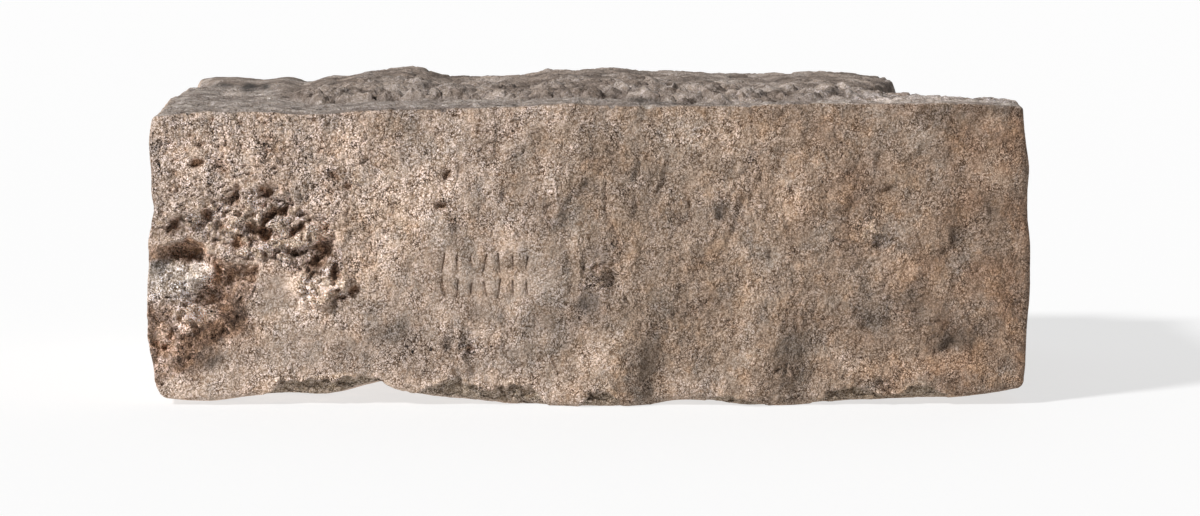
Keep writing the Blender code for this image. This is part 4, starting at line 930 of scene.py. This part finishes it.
def cast_block():
    """The whole block: a dense graded lattice bent to shape, then thinned where it is plain."""
    xs = closer_at_sign(WIDTH, SIGN_PLACE[0] * WIDTH, SIGN_HALF_LONG, 1.2 * FINE_GAP)
    ys = graded(DEPTH, [(at, share * FINE_GAP) for at, share in DEPTH_GAPS])
    zs = closer_at_sign(HEIGHT, SIGN_PLACE[1] * HEIGHT, SIGN_HALF_TALL, FINE_GAP)
    places, faces = lattice([len(xs) - 1, len(ys) - 1, len(zs) - 1])
    points, masks = block_surface(xs[places[:, 0]], ys[places[:, 1]], zs[places[:, 2]])
    dense = put("dense_block", mesh_from("dense_block", points * MM, faces, masks))
    thin = dense.modifiers.new("thin_plain_parts", "DECIMATE")
    thin.ratio = min(1.0, TRIANGLES_KEPT / (2 * len(faces)))
    worked_out = dense.evaluated_get(bpy.context.evaluated_depsgraph_get())
    thinned = bpy.data.meshes.new_from_object(worked_out)
    bpy.data.objects.remove(dense)
    thinned.name = "corroded_lead_block"
    seat_on_frame(thinned)
    thinned.shade_smooth()
    return put("corroded_lead_block", thinned)


def seat_on_frame(mesh):
    """Moves the mesh so that its box has the same middle as the frame's and the same underside."""
    points = np.zeros(len(mesh.vertices) * 3, np.float32)
    mesh.vertices.foreach_get("co", points)
    points = points.reshape(-1, 3)
    low, high = points.min(axis=0), points.max(axis=0)
    middle = (np.array(cad_low) + np.array(cad_high)) / 2
    shift = middle - (low + high) / 2
    shift[2] = cad_low.z - low[2]
    mesh.vertices.foreach_set("co", (points + shift).astype(np.float32).ravel())
    mesh.update()


def linear(hex_colour):
    """A colour given as sRGB hex, as the linear values that a shader takes."""
    parts = [int(hex_colour[i:i + 2], 16) / 255.0 for i in (1, 3, 5)]
    return tuple(c / 12.92 if c <= 0.04045 else ((c + 0.055) / 1.055) ** 2.4 for c in parts) + (1.0,)


def add(tree, kind, links=None, **settings):
    """Adds a node. Settings are its properties; links gives inputs a value, a hex colour or an output."""
    made = tree.nodes.new(kind)
    for name, value in settings.items():
        setattr(made, name, value)
    for name, value in (links or {}).items():
        if isinstance(value, bpy.types.NodeSocket):
            tree.links.new(value, made.inputs[name])
        else:
            made.inputs[name].default_value = linear(value) if isinstance(value, str) else value
    return made


def corroded_cast_lead():
    """Cast lead under lead carbonate and burial soil.

    It gives the eye a dry, sandy, pinkish beige that turns browner to the right, brown earth in every
    hole, soft blue-grey where bare lead shows, and a smoother, greyer top.
    """
    material = bpy.data.materials.new("corroded_cast_lead")
    material.use_nodes = True
    tree = material.node_tree
    tree.nodes.clear()
    place = add(tree, "ShaderNodeTexCoord").outputs["Object"]

    def noise(size_mm, detail=3.0, rough=0.55, stretch=(1.0, 1.0, 1.0)):
        """Noise from 0 to 1 whose largest waves are size_mm long."""
        at = add(tree, "ShaderNodeMapping", {"Vector": place, "Scale": stretch}).outputs["Vector"]
        inputs = {"Vector": at, "Scale": 1.0 / (size_mm * MM), "Detail": detail, "Roughness": rough}
        return add(tree, "ShaderNodeTexNoise", inputs).outputs["Fac"]

    def maths(operation, first, second):
        """The result of one operation on two numbers."""
        return add(tree, "ShaderNodeMath", {0: first, 1: second}, operation=operation).outputs[0]

    def times(first, second):
        """The first number times the second."""
        return maths("MULTIPLY", first, second)

    def between(value, low, high, to_low=0.0, to_high=1.0):
        """value's run from low to high, as a run from to_low to to_high, held at its ends."""
        return add(tree, "ShaderNodeMapRange", {"Value": value, "From Min": low, "From Max": high,
                                                "To Min": to_low, "To Max": to_high}).outputs["Result"]

    def mixed(share, first, second, blend="MIX"):
        """The first colour with a share of the second blended into it."""
        return add(tree, "ShaderNodeMix", {0: share, 6: first, 7: second}, data_type="RGBA",
                   blend_type=blend).outputs[2]

    def mask(name):
        """A mask that the mesh holds on its points."""
        return add(tree, "ShaderNodeAttribute", attribute_name=name).outputs["Fac"]

    across = add(tree, "ShaderNodeSeparateXYZ", {0: place}).outputs["X"]
    drift = noise(DRIFT_SIZE, 3.0, 0.6)
    patch = noise(PATCH_SIZE, 4.0, 0.62)
    mottle = noise(MOTTLE_SIZE, 3.0, 0.65)

    # Grains of sand: cells whose places wobble, each with its own lightness, and darker at its rim as
    # painted shade
    wobble = add(tree, "ShaderNodeTexNoise",
                 {"Vector": place, "Scale": 1.0 / (WOBBLE_SIZE * MM), "Detail": 1.0}).outputs["Color"]
    wobble = add(tree, "ShaderNodeVectorMath", {0: wobble, 1: (0.5, 0.5, 0.5)}, operation="SUBTRACT")
    wobble = add(tree, "ShaderNodeVectorMath", {0: wobble.outputs[0], "Scale": WOBBLE_REACH * MM},
                 operation="SCALE")
    bent = add(tree, "ShaderNodeVectorMath", {0: wobble.outputs[0], 1: place}, operation="ADD")
    sand = add(tree, "ShaderNodeTexVoronoi",
               {"Vector": bent.outputs[0], "Scale": 1.0 / (SAND_SIZE * MM)}, feature="F1")
    one_grain = add(tree, "ShaderNodeSeparateColor", {0: sand.outputs["Color"]}).outputs[0]
    grain = between(sand.outputs["Distance"], 0.2, 0.7, 1.0, 0.0)
    grain = maths("ADD", times(grain, 0.5), times(one_grain, 0.5))
    crumb = noise(CRUMB_SIZE, 4.0, 0.7)

    # Where on the block each finish lies
    earth, bare, raised, shade = mask("earth"), mask("bare_lead"), mask("raised"), mask("shade")
    grit, stain, crumbly = mask("grit"), mask("stain"), mask("crumbly")
    top, crust, broken = mask("top"), mask("crust"), mask("broken")

    # The crust runs from pale at the left to brown at the right, in uneven drifts
    # Part of this run is painted light that fades away from the left
    run = between(across, -0.5 * WIDTH * MM, 0.5 * WIDTH * MM, 0.04, 0.86)
    run = maths("ADD", run, between(drift, 0.3, 0.7, -0.22, 0.22))
    run = maths("ADD", run, between(patch, 0.3, 0.7, -0.20, 0.20))
    ramp = add(tree, "ShaderNodeValToRGB", {"Fac": run})
    ramp.color_ramp.elements[0].color = linear(CRUST_AND_FALLOFF_RUN[0][1])
    ramp.color_ramp.elements[1].color = linear(CRUST_AND_FALLOFF_RUN[-1][1])
    for position, colour in CRUST_AND_FALLOFF_RUN[1:-1]:
        ramp.color_ramp.elements.new(position).color = linear(colour)
    colour = ramp.outputs["Color"]
    pinkish = between(noise(PINK_SIZE, 5.0, 0.7), 0.5, 0.66, 0.0, 0.34)
    colour = mixed(pinkish, colour, "#A8835F")
    greyish = between(noise(GREY_SIZE, 5.0, 0.68, (1.0, 1.0, 0.7)), 0.5, 0.64, 0.0, 0.42)
    colour = mixed(greyish, colour, "#8A8279")
    rust = times(between(across, 0.17 * WIDTH * MM, 0.5 * WIDTH * MM),
                 between(noise(RUST_SIZE, 5.0, 0.68), 0.42, 0.62, 0.0, 0.44))
    colour = mixed(rust, colour, "#8C6648")
    colour = mixed(times(stain, 0.42), colour, "#6B655E")
    # The shade mask's tone: the crust's darker and lighter parts, with painted shade and light among them
    tone = between(shade, 0.0, 1.0, 1.75, 0.25)
    tone_grey = add(tree, "ShaderNodeCombineColor", {0: tone, 1: tone, 2: tone}).outputs[0]
    colour = mixed(1.0, colour, tone_grey, "MULTIPLY")
    # Painted highlight on the high points
    colour = mixed(times(raised, 0.7), colour, "#DEC4A8")

    # Earth fills the eroded parts, and bare lead stands out of it
    soil = mixed(between(mottle, 0.35, 0.65), "#62442E", "#A58061")
    colour = mixed(times(earth, between(patch, 0.3, 0.6, 0.75, 1.0)), colour, soil)
    lead_tone = mixed(between(mottle, 0.35, 0.65), "#8A7F74", "#DCCBBA")
    colour = mixed(times(bare, between(mottle, 0.25, 0.5, 0.5, 1.0)), colour, lead_tone)
    colour = mixed(times(broken, between(mottle, 0.3, 0.6, 0.5, 1.0)), colour, "#94836F")
    # That tone again over earth and bare lead, painted shade included
    colour = mixed(times(maths("MAXIMUM", earth, bare), 0.6), colour, tone_grey, "MULTIPLY")

    # The top is greyer, and its crust browner
    streak = noise(STREAK_SIZE, 4.0, 0.7, (0.3, 1.0, 1.0))
    top_tone = mixed(between(patch, 0.35, 0.65), "#7C7068", "#9C9087")
    top_tone = mixed(between(streak, 0.38, 0.52, 0.6, 0.0), top_tone, "#564B43")
    top_tone = mixed(between(streak, 0.52, 0.64, 0.0, 0.55), top_tone, "#CFC4B9")
    # Painted shade, with some earth, in the strip's wrinkle troughs and the crust's seams
    top_tone = mixed(times(earth, 0.7), top_tone, "#4A3F37")
    crust_tone = mixed(between(patch, 0.38, 0.62), "#6A5C51", "#A39386")
    crust_tone = mixed(times(earth, 0.85), crust_tone, "#3A2F28")
    top_tone = mixed(crust, top_tone, crust_tone)
    # Painted highlight on the top's high points
    top_tone = mixed(times(raised, 0.45), top_tone, "#C4B8AE")
    # The top's tone brings its painted shadow and light
    colour = mixed(top, colour, mixed(1.0, top_tone, tone_grey, "MULTIPLY"))

    # Sandy speckle: dark and bright grains, stronger where the crust is gritty
    uneven = between(noise(GRITTY_SIZE, 3.0, 0.6), 0.35, 0.65, 0.5, 1.25)
    gritty = times(between(grit, 0.0, 1.0, 0.15, 1.0), uneven)
    light = between(grain, 0.12, 0.80, 0.08, 2.04)
    light = times(light, between(mottle, 0.3, 0.7, 0.82, 1.19))
    light = maths("ADD", 1.0, times(maths("SUBTRACT", light, 1.0), gritty))
    # Painted light and shade on the crumbs: lighter where their bump is high, darker between them
    crumb_light = times(maths("SUBTRACT", between(crumb, 0.36, 0.62, 0.60, 1.85), 1.0), crumbly)
    light = times(light, maths("ADD", 1.0, crumb_light))
    # Dark grains are redder than the crust, and bright ones greyer
    dim, lit = maths("MINIMUM", light, 1.0), maths("MAXIMUM", light, 1.0)
    red = times(maths("POWER", dim, 0.82), maths("POWER", lit, 0.92))
    blue = maths("POWER", light, 1.2)
    grain_tint = add(tree, "ShaderNodeCombineColor", {0: red, 1: light, 2: blue}).outputs[0]
    colour = mixed(1.0, colour, grain_tint, "MULTIPLY")

    # Pits, crumbs and sand too fine for the mesh, each on the one before
    under = {}
    for height, strength, depth in ((mottle, between(grit, 0.0, 1.0, 0.4, 1.0), PITTED_DEPTH),
                                    (crumb, crumbly, CRUMBLED_DEPTH), (grain, gritty, SANDY_DEPTH)):
        links = {"Height": height, "Strength": strength, "Distance": depth * MM, **under}
        under = {"Normal": add(tree, "ShaderNodeBump", links).outputs["Normal"]}
    dull = between(mottle, 0.3, 0.7, 0.78, 0.95)
    dull = maths("SUBTRACT", dull, times(bare, 0.22))
    shader = add(tree, "ShaderNodeBsdfPrincipled", {
        "Base Color": colour, "Roughness": dull, "Metallic": times(bare, 0.25), **under})
    add(tree, "ShaderNodeOutputMaterial", {"Surface": shader.outputs["BSDF"]})
    return material


def pale_floor():
    """A plain pale floor level with the underside: opal white that glows a little, for soft shadows."""
    mesh = bpy.data.meshes.new("pale_floor")
    corners = [(TABLE_REACH * x, TABLE_REACH * y, 0) for x, y in ((-1, -1), (1, -1), (1, 1), (-1, 1))]
    mesh.from_pydata(corners, [], [(0, 1, 2, 3)])
    floor = put("pale_floor", mesh)
    floor.location.z = cad_low.z
    material = bpy.data.materials.new("opal_white_table")
    material.use_nodes = True
    shader = material.node_tree.nodes["Principled BSDF"]
    shader.inputs["Base Color"].default_value = (TABLE_GREY, TABLE_GREY, TABLE_GREY, 1.0)
    shader.inputs["Roughness"].default_value = 0.95
    shader.inputs["Emission Color"].default_value = WHITE
    shader.inputs["Emission Strength"].default_value = TABLE_GLOW
    mesh.materials.append(material)


def studio():
    """Soft daylight from the front's upper left, and a pale room, brighter behind the block."""
    key = put("key_light", bpy.data.lights.new("key_light", "SUN"))
    key.data.energy = KEY_STRENGTH
    key.data.angle = np.radians(KEY_SPREAD)
    key.rotation_euler = Vector(KEY_DIRECTION).to_track_quat("-Z", "Y").to_euler()

    world = bpy.data.worlds.new("pale_room")
    world.use_nodes = True
    tree = world.node_tree
    facing = add(tree, "ShaderNodeTexCoord").outputs["Generated"]
    behind = add(tree, "ShaderNodeSeparateXYZ", {0: facing}).outputs["Y"]
    strength = add(tree, "ShaderNodeMapRange", {"Value": behind, "From Min": 0.2, "From Max": 0.8,
                                                "To Min": ROOM_IN_FRONT, "To Max": ROOM_BEHIND})
    tree.links.new(strength.outputs["Result"], tree.nodes["Background"].inputs["Strength"])
    tree.nodes["Background"].inputs["Color"].default_value = WHITE
    bpy.context.scene.world = world
    bpy.context.scene.view_settings.view_transform = "Standard"


def camera():
    """The photograph's view: 1.8 m from the front, a little above the top, looking slightly down."""
    front = cad_low.y + PLANE_SETBACK * MM
    place = Vector((CAMERA_ASIDE * MM, front - CAMERA_DISTANCE * MM, cad_low.z + CAMERA_HEIGHT * MM))
    aim = Vector((AIM_ASIDE * MM, front, cad_low.z + AIM_HEIGHT * MM))
    made = put("camera", bpy.data.cameras.new("camera"))
    made.location = place
    made.rotation_euler = (aim - place).to_track_quat("-Z", "Y").to_euler()
    made.data.sensor_width = SENSOR_WIDTH
    made.data.lens = LENS
    bpy.context.scene.camera = made


camera()
studio()
pale_floor()
block = cast_block()
block.data.materials.append(corroded_cast_lead())
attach(block, "root")
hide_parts("lead_tablet")
